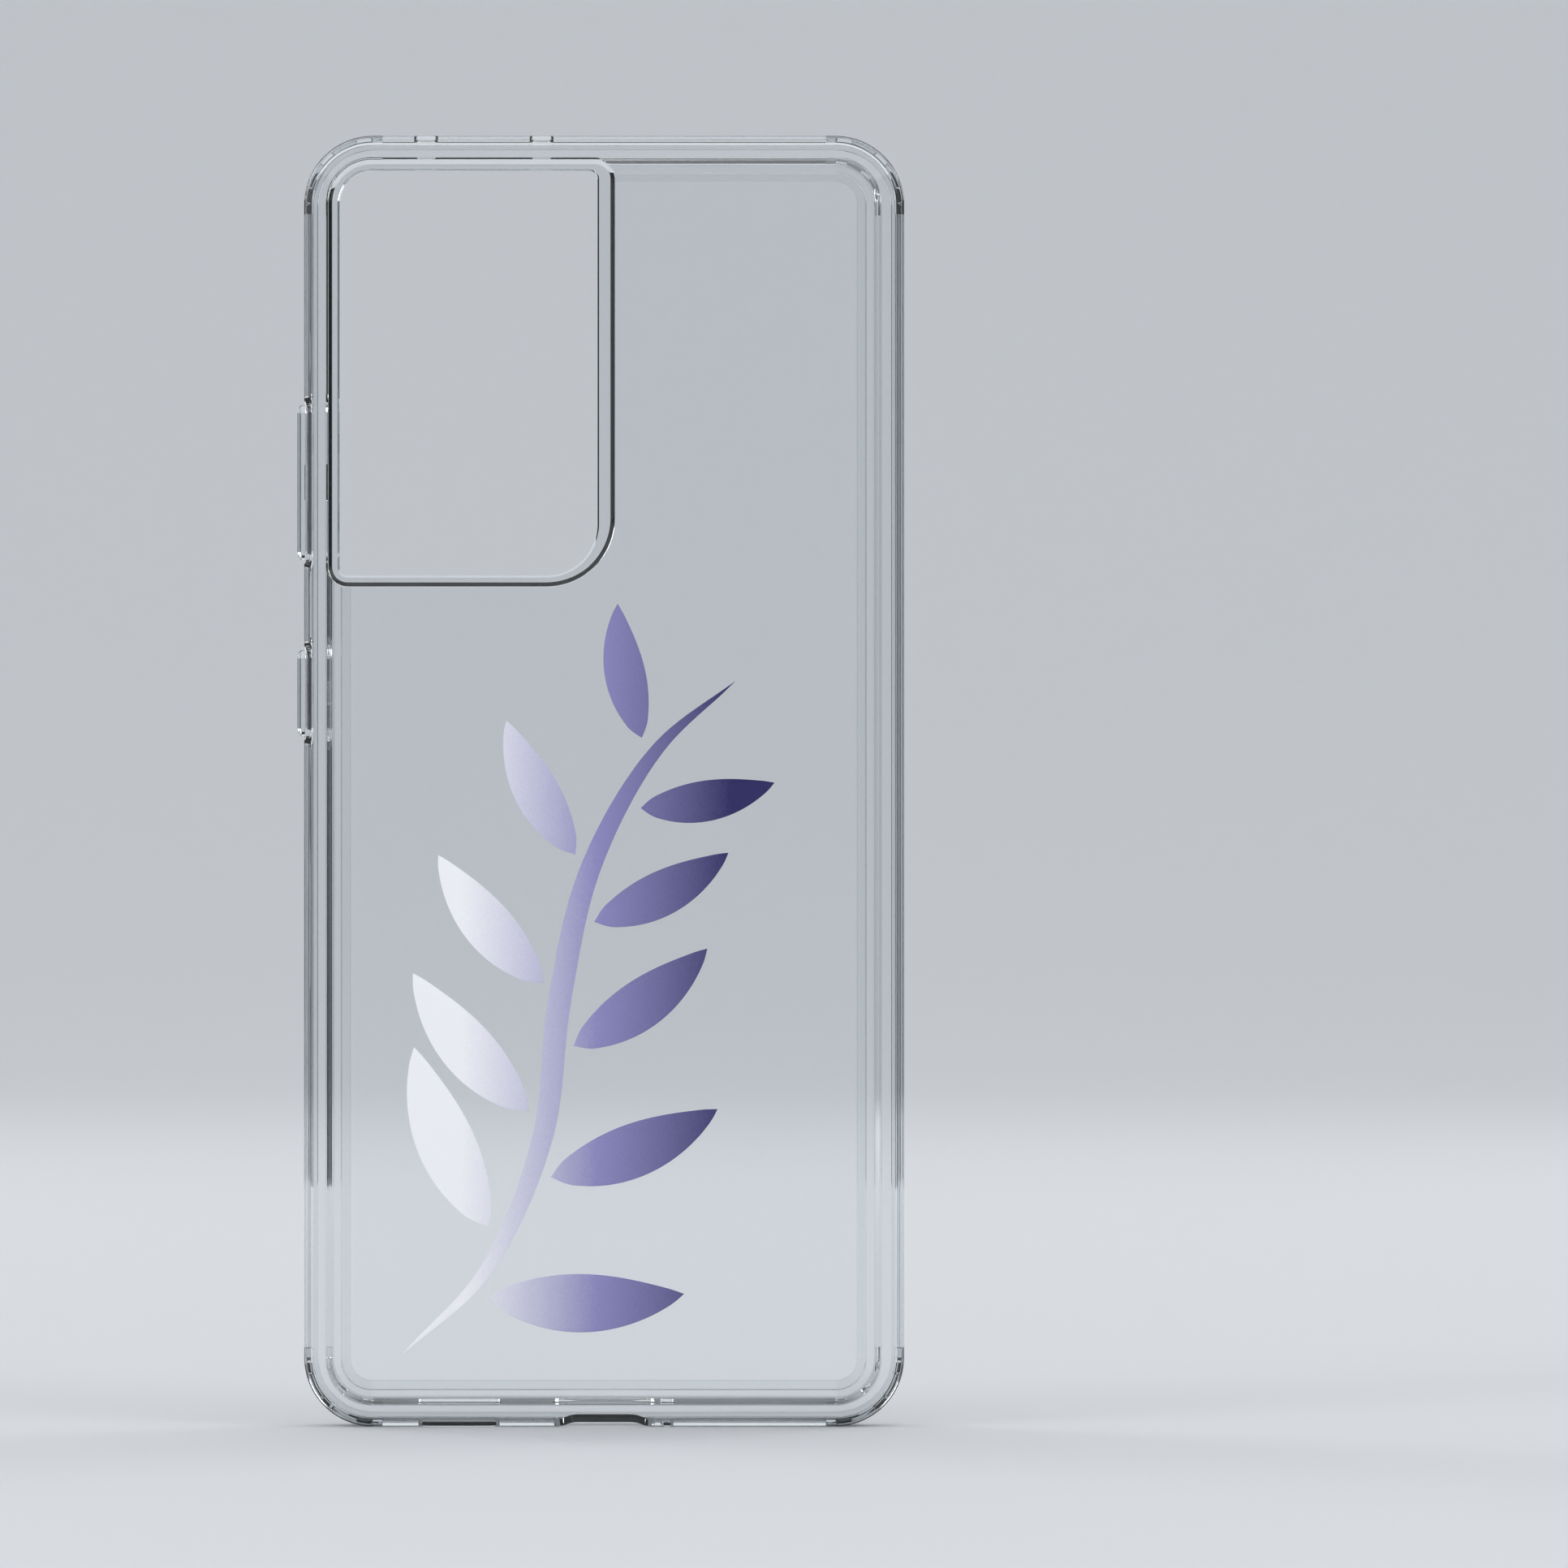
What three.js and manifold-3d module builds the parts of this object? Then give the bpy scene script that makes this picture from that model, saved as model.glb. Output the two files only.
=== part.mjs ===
// Clear protective phone case: a soft bumper frame with air-cushion corners, a hard back panel,
// a raised camera bezel, two pressable side buttons and a printed leaf sprig on the back.
// Millimetres. +Z runs up the case to the camera end, the open screen side faces -Y,
// the printed back faces +Y and the buttons are on the +X side.

import * as THREE from 'three';
import Module from 'manifold-3d';

const wasm = await Module();
wasm.setup();

// ---- Overall size ----
const CASE_WIDTH = 78.4;
const CASE_LENGTH = 168.6;
const CORNER_RADIUS = 9;
const PHONE_DEPTH = 8.9;

// ---- Bumper frame section ----
const WALL_THICKNESS = 1.4;
const BACK_THICKNESS = 1.2;
const LIP_HEIGHT = 0.55;
const LIP_OVERHANG = 0.7;
const END_LIP_RISE = 1.3;
const BAND_DEPTH = 5.05;
const BACK_CHAMFER_DEPTH = 3.65;
const BACK_CHAMFER_INSET = 3;
const BACK_EDGE_ROUND = 0.3;
const BACK_EDGE_ROUND_INSET = 0.5;
const FRONT_CHAMFER_SLOPE = 0.45;
const CAVITY_EDGE_DEPTH = 2.9;
const CAVITY_EDGE_INSET = 2.4;
const LIP_BLEND_POWER = 1.3;

// ---- Back panel, lapped into the frame ----
const PANEL_INSET = 5;
const LAP_WIDTH = 1.2;
const LAP_THICKNESS = BACK_THICKNESS / 2;

// ---- Camera bezel ----
const BEZEL_RISE = 0.95;
const BEZEL_EDGE_INSET = 3.3;
const BEZEL_RUN_WIDTH = 1.5;
const BEZEL_INNER_SIDE_WIDTH = 2.3;
const BEZEL_FLANK_RUN = 0.6;
const BEZEL_INNER_BEVEL = 0.25;
const WINDOW_WIDTH = 33.6;
const WINDOW_LENGTH = 52.7;
const WINDOW_INNER_RADIUS = 6.7;
const WINDOW_TIGHT_RADIUS = 1.1;

// ---- Side buttons ----
const BUTTON_RISE = 0.95;
const BUTTON_HALF_WIDTH = 1.22;
const BUTTON_TOP_BEVEL = 0.3;
const BUTTON_GAP = 0.3;
const BUTTON_SLIT = 0.67;
const VOLUME_LENGTH = 20.3;
const VOLUME_BELOW_TOP = 45.25;
const VOLUME_BRIDGE = 4.6;
const POWER_LENGTH = 11.3;
const BUTTON_SPACING = 27.55;
const WINDOW_MARGIN = 1.08;
const WINDOW_BEVEL = 0.6;
const WEB_THICKNESS = 0.35;
const WEB_RISE = 0.6;
const WEB_COLLAR = 0.3;
const NUB_HALF_WIDTH = 0.75;
const NUB_LENGTH = 3;
const NUB_HEIGHT = 0.35;

// ---- Corner air cushions ----
const CUSHION_SKIN = 0.5;
const CUSHION_TAIL = 1.2;
const CUSHION_MARGIN = 0.15;
const CELL_DEPTH = 3.5;
const CELL_WIDTH = 2.1;
const CELL_ANGLES = [8, 45, 82];

// ---- Openings in the end walls ----
const PORT_WIDTH = 13.3;
const PORT_DEPTH = 6.6;
const SPEAKER_LENGTH = 10.7;
const SPEAKER_WIDTH = 2.4;
const SPEAKER_OFFSET = 19;
const MICROPHONE_WIDTH = 1.7;
const MICROPHONE_OFFSET = -8.2;
const TOP_HOLE_LENGTH = 3.2;
const TOP_HOLE_WIDTH = 1.6;
const TOP_HOLE_OFFSETS = [8.2, 23.3];
const END_CUT_DEPTH = 2.5;

// ---- Printed sprig ----
const PRINT_THICKNESS = 0.1;
const PRINT_END_MARGIN = 9.5;
const PRINT_SIDE_MARGIN = 5.5;
const STEM_WIDTH = 3;
const STEM_WIDEST = 0.5;
const LEAF_LENGTH = 25.4;
const LEAF_WIDTH = 7.6;
const LEAF_BULGE = 3;
const LEAF_SPREAD = 0.86;
const LEAF_PAIRS = 5;
const LEAF_FIRST = 0.13;
const LEAF_LAST = 0.79;
const LEAF_STAGGER = 0.075;
const LEAF_TAPER = 0.075;
const LEAF_WIDEST = 0.42;
const LEAF_GAP = 1;
const LEAF_PITCH = 14.949;
const STROKE_FULLNESS = 0.85;

// ---- Clearances and mesh fineness ----
const FIT = 0.05;
const CUT_OVERRUN = 2;
const ARC_STEPS = 8;
const ROUND_STEPS = 10;
const STROKE_STEPS = 14;
const STEM_STEPS = 28;

// ---- Places that follow from the sizes above ----
const TOTAL_DEPTH = BEZEL_RISE + BACK_THICKNESS + PHONE_DEPTH + LIP_HEIGHT + END_LIP_RISE;
const BEZEL_TOP = TOTAL_DEPTH / 2;
const BACK_FACE = BEZEL_TOP - BEZEL_RISE;
const CAVITY_BACK = BACK_FACE - BACK_THICKNESS;
const LAP_FACE = BACK_FACE - LAP_THICKNESS;
const LIP_UNDERSIDE = CAVITY_BACK - PHONE_DEPTH;
const LIP_TOP = LIP_UNDERSIDE - LIP_HEIGHT;
const BAND_BACK = BACK_FACE - BACK_EDGE_ROUND - BACK_CHAMFER_DEPTH;
const BAND_FRONT = BAND_BACK - BAND_DEPTH;
const BAND_MIDDLE = BAND_BACK - BAND_DEPTH / 2;
const BODY_X = -BUTTON_RISE / 2;
const SIDE_FACE = BODY_X + CASE_WIDTH / 2;
const INNER_FACE = SIDE_FACE - WALL_THICKNESS;
const VOLUME_Z = CASE_LENGTH - VOLUME_BELOW_TOP;
const POWER_Z = VOLUME_Z - BUTTON_SPACING;

const CASE_OUTLINE = {
  left: BODY_X - CASE_WIDTH / 2,
  right: SIDE_FACE,
  bottom: 0,
  top: CASE_LENGTH,
  radii: [CORNER_RADIUS, CORNER_RADIUS, CORNER_RADIUS, CORNER_RADIUS],
};

// ---- Shape helpers ----

// Four corner arcs of an outline, counter-clockwise from the lower right, seen with X right and Z up.
function cornerArcs(outline) {
  const { left, right, bottom, top, radii } = outline;
  return [
    { x: right - radii[0], z: bottom + radii[0], radius: radii[0], start: -90 },
    { x: right - radii[1], z: top - radii[1], radius: radii[1], start: 0 },
    { x: left + radii[2], z: top - radii[2], radius: radii[2], start: 90 },
    { x: left + radii[3], z: bottom + radii[3], radius: radii[3], start: 180 },
  ];
}

// A point on a corner arc, moved inwards by the inset.
function arcPoint(arc, degrees, inset) {
  const angle = THREE.MathUtils.degToRad(degrees);
  const reach = arc.radius - inset;
  return { x: arc.x + reach * Math.cos(angle), z: arc.z + reach * Math.sin(angle) };
}

// Rounded rectangle moved inwards by an inset. Each point keeps its index at every inset.
function roundedOutline(outline, inset = 0) {
  const points = [];
  for (const arc of cornerArcs(outline)) {
    for (let step = 0; step <= ARC_STEPS; step += 1) {
      points.push(arcPoint(arc, arc.start + (90 * step) / ARC_STEPS, inset));
    }
  }
  return points;
}

// Pill outline with its length along Z, centred on y and z.
function pillOutline(halfWidth, halfLength, y, z) {
  const points = [];
  for (const side of [1, -1]) {
    for (let step = 0; step <= ROUND_STEPS; step += 1) {
      const angle = (Math.PI * step) / ROUND_STEPS;
      points.push({
        y: y + side * halfWidth * Math.cos(angle),
        z: z + side * (halfLength - halfWidth + halfWidth * Math.sin(angle)),
      });
    }
  }
  return points;
}

// Loop of a flat outline at one depth through the case.
function atDepth(points, y) {
  return points.map((point) => new THREE.Vector3(point.x, y, point.z));
}

// Loop of a side outline at one distance across the case.
function atSide(points, x) {
  return points.map((point) => new THREE.Vector3(x, point.y, point.z));
}

// Geometry from shared vertices and triangles, turned so that it encloses a positive volume.
function closedGeometry(vertices, triangles) {
  let volume = 0;
  for (const [a, b, c] of triangles) {
    volume += vertices[a].dot(new THREE.Vector3().crossVectors(vertices[b], vertices[c]));
  }
  const outward = volume > 0 ? triangles : triangles.map(([a, b, c]) => [a, c, b]);
  const geometry = new THREE.BufferGeometry();
  geometry.setFromPoints(vertices);
  geometry.setIndex(outward.flat());
  return geometry;
}

// Bands of triangles between neighbouring loops, each with the same number of points.
function bandsBetween(loopCount, pointCount, isRing) {
  const triangles = [];
  const bands = isRing ? loopCount : loopCount - 1;
  for (let band = 0; band < bands; band += 1) {
    const near = band * pointCount;
    const far = ((band + 1) % loopCount) * pointCount;
    for (let index = 0; index < pointCount; index += 1) {
      const next = (index + 1) % pointCount;
      triangles.push([near + index, near + next, far + next]);
      triangles.push([near + index, far + next, far + index]);
    }
  }
  return triangles;
}

// Ring-shaped solid whose section is walked once round by the loops.
function ringSolid(loops) {
  return closedGeometry(loops.flat(), bandsBetween(loops.length, loops[0].length, true));
}

// Solid stacked from loops, closed by a flat cap on the first and the last loop.
function stackSolid(loops, flatten) {
  const pointCount = loops[0].length;
  const triangles = bandsBetween(loops.length, pointCount, false);
  const lastStart = (loops.length - 1) * pointCount;
  for (const [a, b, c] of THREE.ShapeUtils.triangulateShape(loops[0].map(flatten), [])) {
    triangles.push([a, c, b]);
  }
  for (const [a, b, c] of THREE.ShapeUtils.triangulateShape(loops.at(-1).map(flatten), [])) {
    triangles.push([lastStart + a, lastStart + b, lastStart + c]);
  }
  return closedGeometry(loops.flat(), triangles);
}

const seenFromFront = (point) => new THREE.Vector2(point.x, point.z);
const seenFromSide = (point) => new THREE.Vector2(point.y, point.z);
const seenFromEnd = (point) => new THREE.Vector2(point.y, point.x);

// Straight prism through the thickness of the case.
function depthPrism(points, low, high) {
  return stackSolid([atDepth(points, low), atDepth(points, high)], seenFromFront);
}

// Straight pill-shaped prism along Z, with its length along X, for the holes in the end walls.
function endPrism(length, width, offset, low, high) {
  const flatPill = pillOutline(width / 2, length / 2, BAND_MIDDLE, BODY_X + offset);
  const loopAt = (height) => flatPill.map((point) => new THREE.Vector3(point.z, point.y, height));
  return stackSolid([loopAt(low), loopAt(high)], seenFromEnd);
}

// Plain block between two corners.
function block(low, high) {
  const geometry = new THREE.BoxGeometry(high[0] - low[0], high[1] - low[1], high[2] - low[2]);
  geometry.translate((low[0] + high[0]) / 2, (low[1] + high[1]) / 2, (low[2] + high[2]) / 2);
  return geometry;
}

function mergedCorners(geometry) {
  const position = geometry.getAttribute('position');
  const places = new Map();
  const coordinates = [];
  const remap = [];
  for (let index = 0; index < position.count; index += 1) {
    const corner = [position.getX(index), position.getY(index), position.getZ(index)];
    const key = corner.join(' ');
    if (!places.has(key)) {
      places.set(key, places.size);
      coordinates.push(...corner);
    }
    remap.push(places.get(key));
  }
  const order = geometry.index ? Array.from(geometry.index.array) : remap.map((_, index) => index);
  return { coordinates, triangles: order.map((index) => remap[index]) };
}

function toBody(geometry) {
  const { coordinates, triangles } = mergedCorners(geometry);
  return new wasm.Manifold(
    new wasm.Mesh({
      numProp: 3,
      vertProperties: new Float32Array(coordinates),
      triVerts: new Uint32Array(triangles),
    }),
  );
}

function fromBody(body) {
  const mesh = body.getMesh();
  const geometry = new THREE.BufferGeometry();
  geometry.setAttribute('position', new THREE.BufferAttribute(mesh.vertProperties, 3));
  geometry.setIndex(new THREE.BufferAttribute(mesh.triVerts, 1));
  return geometry;
}

// The geometry with every tool cut out of it.
function cutAway(geometry, tools) {
  const body = tools.reduce((rest, tool) => rest.subtract(toBody(tool)), toBody(geometry));
  return fromBody(body);
}

// One body made of geometries that run into each other.
function joined(geometries) {
  const [first, ...others] = geometries.map(toBody);
  return fromBody(others.reduce((whole, body) => whole.add(body), first));
}

// ---- Camera opening ----

const BEZEL_OUTER = {
  left: SIDE_FACE - BEZEL_EDGE_INSET - BEZEL_RUN_WIDTH - WINDOW_WIDTH - BEZEL_INNER_SIDE_WIDTH,
  right: SIDE_FACE - BEZEL_EDGE_INSET,
  bottom: CASE_LENGTH - BEZEL_EDGE_INSET - 2 * BEZEL_RUN_WIDTH - WINDOW_LENGTH,
  top: CASE_LENGTH - BEZEL_EDGE_INSET,
  radii: [
    WINDOW_TIGHT_RADIUS + BEZEL_RUN_WIDTH,
    CORNER_RADIUS - BEZEL_EDGE_INSET,
    WINDOW_TIGHT_RADIUS + BEZEL_RUN_WIDTH,
    WINDOW_INNER_RADIUS + BEZEL_INNER_SIDE_WIDTH,
  ],
};

const BEZEL_INNER = {
  left: BEZEL_OUTER.left + BEZEL_INNER_SIDE_WIDTH,
  right: BEZEL_OUTER.right - BEZEL_RUN_WIDTH,
  bottom: BEZEL_OUTER.bottom + BEZEL_RUN_WIDTH,
  top: BEZEL_OUTER.top - BEZEL_RUN_WIDTH,
  radii: [
    WINDOW_TIGHT_RADIUS,
    CORNER_RADIUS - BEZEL_EDGE_INSET - BEZEL_RUN_WIDTH,
    WINDOW_TIGHT_RADIUS,
    WINDOW_INNER_RADIUS,
  ],
};

// The room the bezel takes out of the frame and the panel.
function bezelRoom() {
  const outline = roundedOutline(BEZEL_OUTER, -FIT);
  return depthPrism(outline, CAVITY_BACK, BEZEL_TOP + CUT_OVERRUN);
}

function cameraBezel() {
  return ringSolid([
    atDepth(roundedOutline(BEZEL_OUTER), CAVITY_BACK),
    atDepth(roundedOutline(BEZEL_OUTER), BACK_FACE),
    atDepth(roundedOutline(BEZEL_OUTER, BEZEL_FLANK_RUN), BEZEL_TOP),
    atDepth(roundedOutline(BEZEL_INNER, -BEZEL_INNER_BEVEL), BEZEL_TOP),
    atDepth(roundedOutline(BEZEL_INNER), BEZEL_TOP - BEZEL_INNER_BEVEL),
    atDepth(roundedOutline(BEZEL_INNER), CAVITY_BACK),
  ]);
}

// ---- Back panel ----

function backPanel() {
  const lapEdge = roundedOutline(CASE_OUTLINE, PANEL_INSET + LAP_WIDTH + FIT);
  const faceEdge = roundedOutline(CASE_OUTLINE, PANEL_INSET + FIT);
  const plate = stackSolid(
    [
      atDepth(lapEdge, CAVITY_BACK),
      atDepth(lapEdge, LAP_FACE),
      atDepth(faceEdge, LAP_FACE),
      atDepth(faceEdge, BACK_FACE),
    ],
    seenFromFront,
  );
  const room = roundedOutline(BEZEL_OUTER, -FIT);
  const opening = depthPrism(room, CAVITY_BACK - CUT_OVERRUN, BEZEL_TOP + CUT_OVERRUN);
  return cutAway(plate, [opening]);
}

// ---- Corner air cushions ----

// Strip of wall round one corner, between two insets, with a straight tail at each end.
function cornerStrip(arc, outerInset, innerInset, tail, front, back) {
  const walk = (inset) => {
    const points = [];
    const startTurn = THREE.MathUtils.degToRad(arc.start);
    const endTurn = THREE.MathUtils.degToRad(arc.start + 90);
    const first = arcPoint(arc, arc.start, inset);
    points.push({ x: first.x + tail * Math.sin(startTurn), z: first.z - tail * Math.cos(startTurn) });
    for (let step = 0; step <= ARC_STEPS; step += 1) {
      points.push(arcPoint(arc, arc.start + (90 * step) / ARC_STEPS, inset));
    }
    const last = arcPoint(arc, arc.start + 90, inset);
    points.push({ x: last.x - tail * Math.sin(endTurn), z: last.z + tail * Math.cos(endTurn) });
    return points;
  };
  const outline = [...walk(outerInset), ...walk(innerInset).reverse()];
  return depthPrism(outline, front, back);
}

const CUSHION_FRONT = BAND_FRONT + CUSHION_MARGIN;
const CUSHION_BACK = BAND_BACK - CUSHION_MARGIN;

function cushionRoom(arc) {
  return cornerStrip(
    arc,
    CUSHION_SKIN,
    WALL_THICKNESS + CUT_OVERRUN,
    CUSHION_TAIL + FIT,
    CUSHION_FRONT - FIT,
    CUSHION_BACK + FIT,
  );
}

function cornerCushion(arc) {
  const strip = cornerStrip(
    arc,
    CUSHION_SKIN + FIT,
    WALL_THICKNESS,
    CUSHION_TAIL,
    CUSHION_FRONT,
    CUSHION_BACK,
  );
  const cells = CELL_ANGLES.map((degrees) => {
    const cell = new THREE.BoxGeometry(CELL_WIDTH, CELL_DEPTH, WALL_THICKNESS + CUT_OVERRUN);
    cell.translate(0, BAND_MIDDLE, CORNER_RADIUS - WALL_THICKNESS / 2);
    cell.rotateY(THREE.MathUtils.degToRad(90 - arc.start - degrees));
    cell.translate(arc.x, 0, arc.z);
    return cell;
  });
  return cutAway(strip, cells);
}

// ---- Side buttons ----

const VOLUME = { z: VOLUME_Z, halfLength: VOLUME_LENGTH / 2, bridge: VOLUME_BRIDGE };
const POWER = { z: POWER_Z, halfLength: POWER_LENGTH / 2, bridge: 0 };

// Pill outline that keeps an even margin round a button.
function roundButton(button, margin) {
  return pillOutline(BUTTON_HALF_WIDTH + margin, button.halfLength + margin, BAND_MIDDLE, button.z);
}

function buttonWindow(button) {
  const straight = roundButton(button, WINDOW_MARGIN);
  const wide = roundButton(button, WINDOW_MARGIN + WINDOW_BEVEL + CUT_OVERRUN);
  return stackSolid(
    [
      atSide(straight, INNER_FACE - CUT_OVERRUN),
      atSide(straight, SIDE_FACE - WINDOW_BEVEL),
      atSide(wide, SIDE_FACE + CUT_OVERRUN),
    ],
    seenFromSide,
  );
}

// Flexible skirt that carries a button in its window, open along a slit on the back side.
function buttonWeb(button) {
  const rim = roundButton(button, WINDOW_MARGIN - FIT);
  const collar = roundButton(button, WINDOW_MARGIN - FIT - WEB_COLLAR);
  const mouth = roundButton(button, BUTTON_GAP);
  const foot = INNER_FACE + FIT;
  const shoulder = SIDE_FACE - WINDOW_BEVEL;
  const skirt = ringSolid([
    atSide(rim, foot),
    atSide(rim, shoulder),
    atSide(mouth, shoulder + WEB_RISE),
    atSide(mouth, shoulder + WEB_RISE - WEB_THICKNESS),
    atSide(collar, shoulder - WEB_THICKNESS),
    atSide(collar, foot),
  ]);
  const slit = stackSolid(
    [
      atSide(roundButton(button, BUTTON_SLIT), INNER_FACE - CUT_OVERRUN),
      atSide(roundButton(button, BUTTON_SLIT), SIDE_FACE + CUT_OVERRUN),
    ],
    seenFromSide,
  );
  const reach = BUTTON_HALF_WIDTH + WINDOW_MARGIN + CUT_OVERRUN;
  const frontHalf = blockAcrossWall(button, -reach, 0, button.halfLength + CUT_OVERRUN);
  const uncut = [frontHalf];
  if (button.bridge > 0) {
    uncut.push(blockAcrossWall(button, -CUT_OVERRUN, reach, button.bridge / 2));
  }
  return cutAway(skirt, [cutAway(slit, uncut)]);
}

// Block right through the side wall at a button, between two depths from its middle line.
function blockAcrossWall(button, low, high, halfLength) {
  return block(
    [INNER_FACE - 2 * CUT_OVERRUN, BAND_MIDDLE + low, button.z - halfLength],
    [SIDE_FACE + 2 * CUT_OVERRUN, BAND_MIDDLE + high, button.z + halfLength],
  );
}

// Button bar with a bevelled top and small pads inside that press the keys of the phone.
function buttonBar(button, nubOffsets) {
  const base = INNER_FACE + NUB_HEIGHT;
  const top = SIDE_FACE + BUTTON_RISE;
  const bar = stackSolid(
    [
      atSide(roundButton(button, 0), base),
      atSide(roundButton(button, 0), top - BUTTON_TOP_BEVEL),
      atSide(roundButton(button, -BUTTON_TOP_BEVEL), top),
    ],
    seenFromSide,
  );
  const nubs = nubOffsets.map((offset) =>
    block(
      [INNER_FACE, BAND_MIDDLE - NUB_HALF_WIDTH, button.z + offset - NUB_LENGTH / 2],
      [base + NUB_HEIGHT, BAND_MIDDLE + NUB_HALF_WIDTH, button.z + offset + NUB_LENGTH / 2],
    ),
  );
  return joined([bar, ...nubs]);
}

// ---- Bumper frame ----

// How much of the extra height of the end lips is present at each point of the outline.
function endLipShare(index) {
  const perArc = ARC_STEPS + 1;
  const corner = Math.floor(index / perArc);
  const share = (index % perArc) / ARC_STEPS;
  const towardsEnd = corner % 2 === 1 ? share : 1 - share;
  return towardsEnd ** LIP_BLEND_POWER;
}

function frameLoop(inset, y) {
  return atDepth(roundedOutline(CASE_OUTLINE, inset), y);
}

// Top of the lip: low along the sides and higher across both ends.
function lipLoop(insetAt) {
  const points = roundedOutline(CASE_OUTLINE, 0);
  return points.map((_, index) => {
    const y = LIP_TOP - END_LIP_RISE * endLipShare(index);
    const point = roundedOutline(CASE_OUTLINE, insetAt(y))[index];
    return new THREE.Vector3(point.x, y, point.z);
  });
}

function bumperFrame() {
  const ring = ringSolid([
    frameLoop(0, BAND_BACK),
    frameLoop(BACK_CHAMFER_INSET, BACK_FACE - BACK_EDGE_ROUND),
    frameLoop(BACK_CHAMFER_INSET + BACK_EDGE_ROUND_INSET, BACK_FACE),
    frameLoop(PANEL_INSET, BACK_FACE),
    frameLoop(PANEL_INSET, LAP_FACE),
    frameLoop(PANEL_INSET + LAP_WIDTH, LAP_FACE),
    frameLoop(PANEL_INSET + LAP_WIDTH, CAVITY_BACK),
    frameLoop(WALL_THICKNESS + CAVITY_EDGE_INSET, CAVITY_BACK),
    frameLoop(WALL_THICKNESS, CAVITY_BACK - CAVITY_EDGE_DEPTH),
    frameLoop(WALL_THICKNESS, LIP_UNDERSIDE),
    frameLoop(WALL_THICKNESS + LIP_OVERHANG, LIP_UNDERSIDE),
    lipLoop(() => WALL_THICKNESS + LIP_OVERHANG),
    lipLoop((y) => (BAND_FRONT - y) * FRONT_CHAMFER_SLOPE),
    frameLoop(0, BAND_FRONT),
  ]);
  const below = -CUT_OVERRUN;
  const above = CASE_LENGTH + CUT_OVERRUN;
  return cutAway(ring, [
    bezelRoom(),
    ...cornerArcs(CASE_OUTLINE).map(cushionRoom),
    endPrism(PORT_WIDTH, PORT_DEPTH, 0, below, END_CUT_DEPTH),
    endPrism(SPEAKER_LENGTH, SPEAKER_WIDTH, SPEAKER_OFFSET, below, END_CUT_DEPTH),
    endPrism(MICROPHONE_WIDTH, MICROPHONE_WIDTH - FIT, MICROPHONE_OFFSET, below, END_CUT_DEPTH),
    ...TOP_HOLE_OFFSETS.map((offset) =>
      endPrism(TOP_HOLE_LENGTH, TOP_HOLE_WIDTH, offset, CASE_LENGTH - END_CUT_DEPTH, above),
    ),
    buttonWindow(VOLUME),
    buttonWindow(POWER),
  ]);
}

// ---- Printed sprig ----

// Brush stroke along a curve: pointed at both ends and widest at the given share of its length.
function brushStroke(curve, width, widest, steps) {
  const leftSide = [];
  const rightSide = [];
  for (let step = 1; step < steps; step += 1) {
    const share = step / steps;
    const bend = share ** (Math.log(0.5) / Math.log(widest));
    const half = (width / 2) * Math.sin(Math.PI * bend) ** STROKE_FULLNESS;
    const place = curve.getPoint(share);
    const along = curve.getTangent(share);
    leftSide.push({ x: place.x - along.y * half, z: place.y + along.x * half });
    rightSide.push({ x: place.x + along.y * half, z: place.y - along.x * half });
  }
  const start = curve.getPoint(0);
  const end = curve.getPoint(1);
  const outline = [
    { x: start.x, z: start.y },
    ...rightSide,
    { x: end.x, z: end.y },
    ...leftSide.reverse(),
  ];
  return depthPrism(outline, BACK_FACE, BACK_FACE + PRINT_THICKNESS);
}

const PRINT_BOTTOM = PRINT_END_MARGIN;
const PRINT_LENGTH = BEZEL_OUTER.bottom - 2 * PRINT_END_MARGIN;
const PRINT_WIDTH = CASE_WIDTH - 2 * (PANEL_INSET + PRINT_SIDE_MARGIN);

// Middle line of the stem, in shares of the print: across from the middle line, then up.
const STEM_COURSE = [
  [0.46, 0],
  [0.27, 0.12],
  [0.14, 0.31],
  [0.1, 0.51],
  [0.03, 0.7],
  [-0.12, 0.87],
  [-0.3, 0.97],
];

const STEM_CURVE = new THREE.CatmullRomCurve3(
  STEM_COURSE.map(([across, up]) => {
    return new THREE.Vector3(BODY_X + across * PRINT_WIDTH, PRINT_BOTTOM + up * PRINT_LENGTH, 0);
  }),
);

// Leaves grow and shrink with the length of print that each pair has to itself.
const LEAF_SPACING = (PRINT_LENGTH * (LEAF_LAST - LEAF_FIRST)) / (LEAF_PAIRS - 1);
const LEAF_SIZE = LEAF_SPACING / LEAF_PITCH;

// Middle line of a leaf that leaves the stem at one share of its length, on one side of it.
function leafCurve(share, side, size) {
  const place = STEM_CURVE.getPointAt(share);
  const along = STEM_CURVE.getTangentAt(share);
  const heading = Math.atan2(along.y, along.x) + side * LEAF_SPREAD;
  const direction = new THREE.Vector3(Math.cos(heading), Math.sin(heading), 0);
  const outward = new THREE.Vector3(-along.y * side, along.x * side, 0);
  const reach = LEAF_LENGTH * size;
  const start = place.clone().addScaledVector(outward, STEM_WIDTH / 2 + LEAF_GAP);
  const end = start.clone().addScaledVector(direction, reach);
  const middle = start.clone().addScaledVector(direction, reach / 2);
  middle.addScaledVector(outward, LEAF_BULGE * size);
  return new THREE.QuadraticBezierCurve3(start, middle, end);
}

// ---- Assembly ----

const part = new THREE.Group();
part.name = 'phone_case';

function addPiece(name, geometry, look) {
  geometry.computeVertexNormals();
  const piece = new THREE.Mesh(geometry, new THREE.MeshStandardMaterial({ metalness: 0, ...look }));
  piece.name = name;
  part.add(piece);
}

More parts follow.
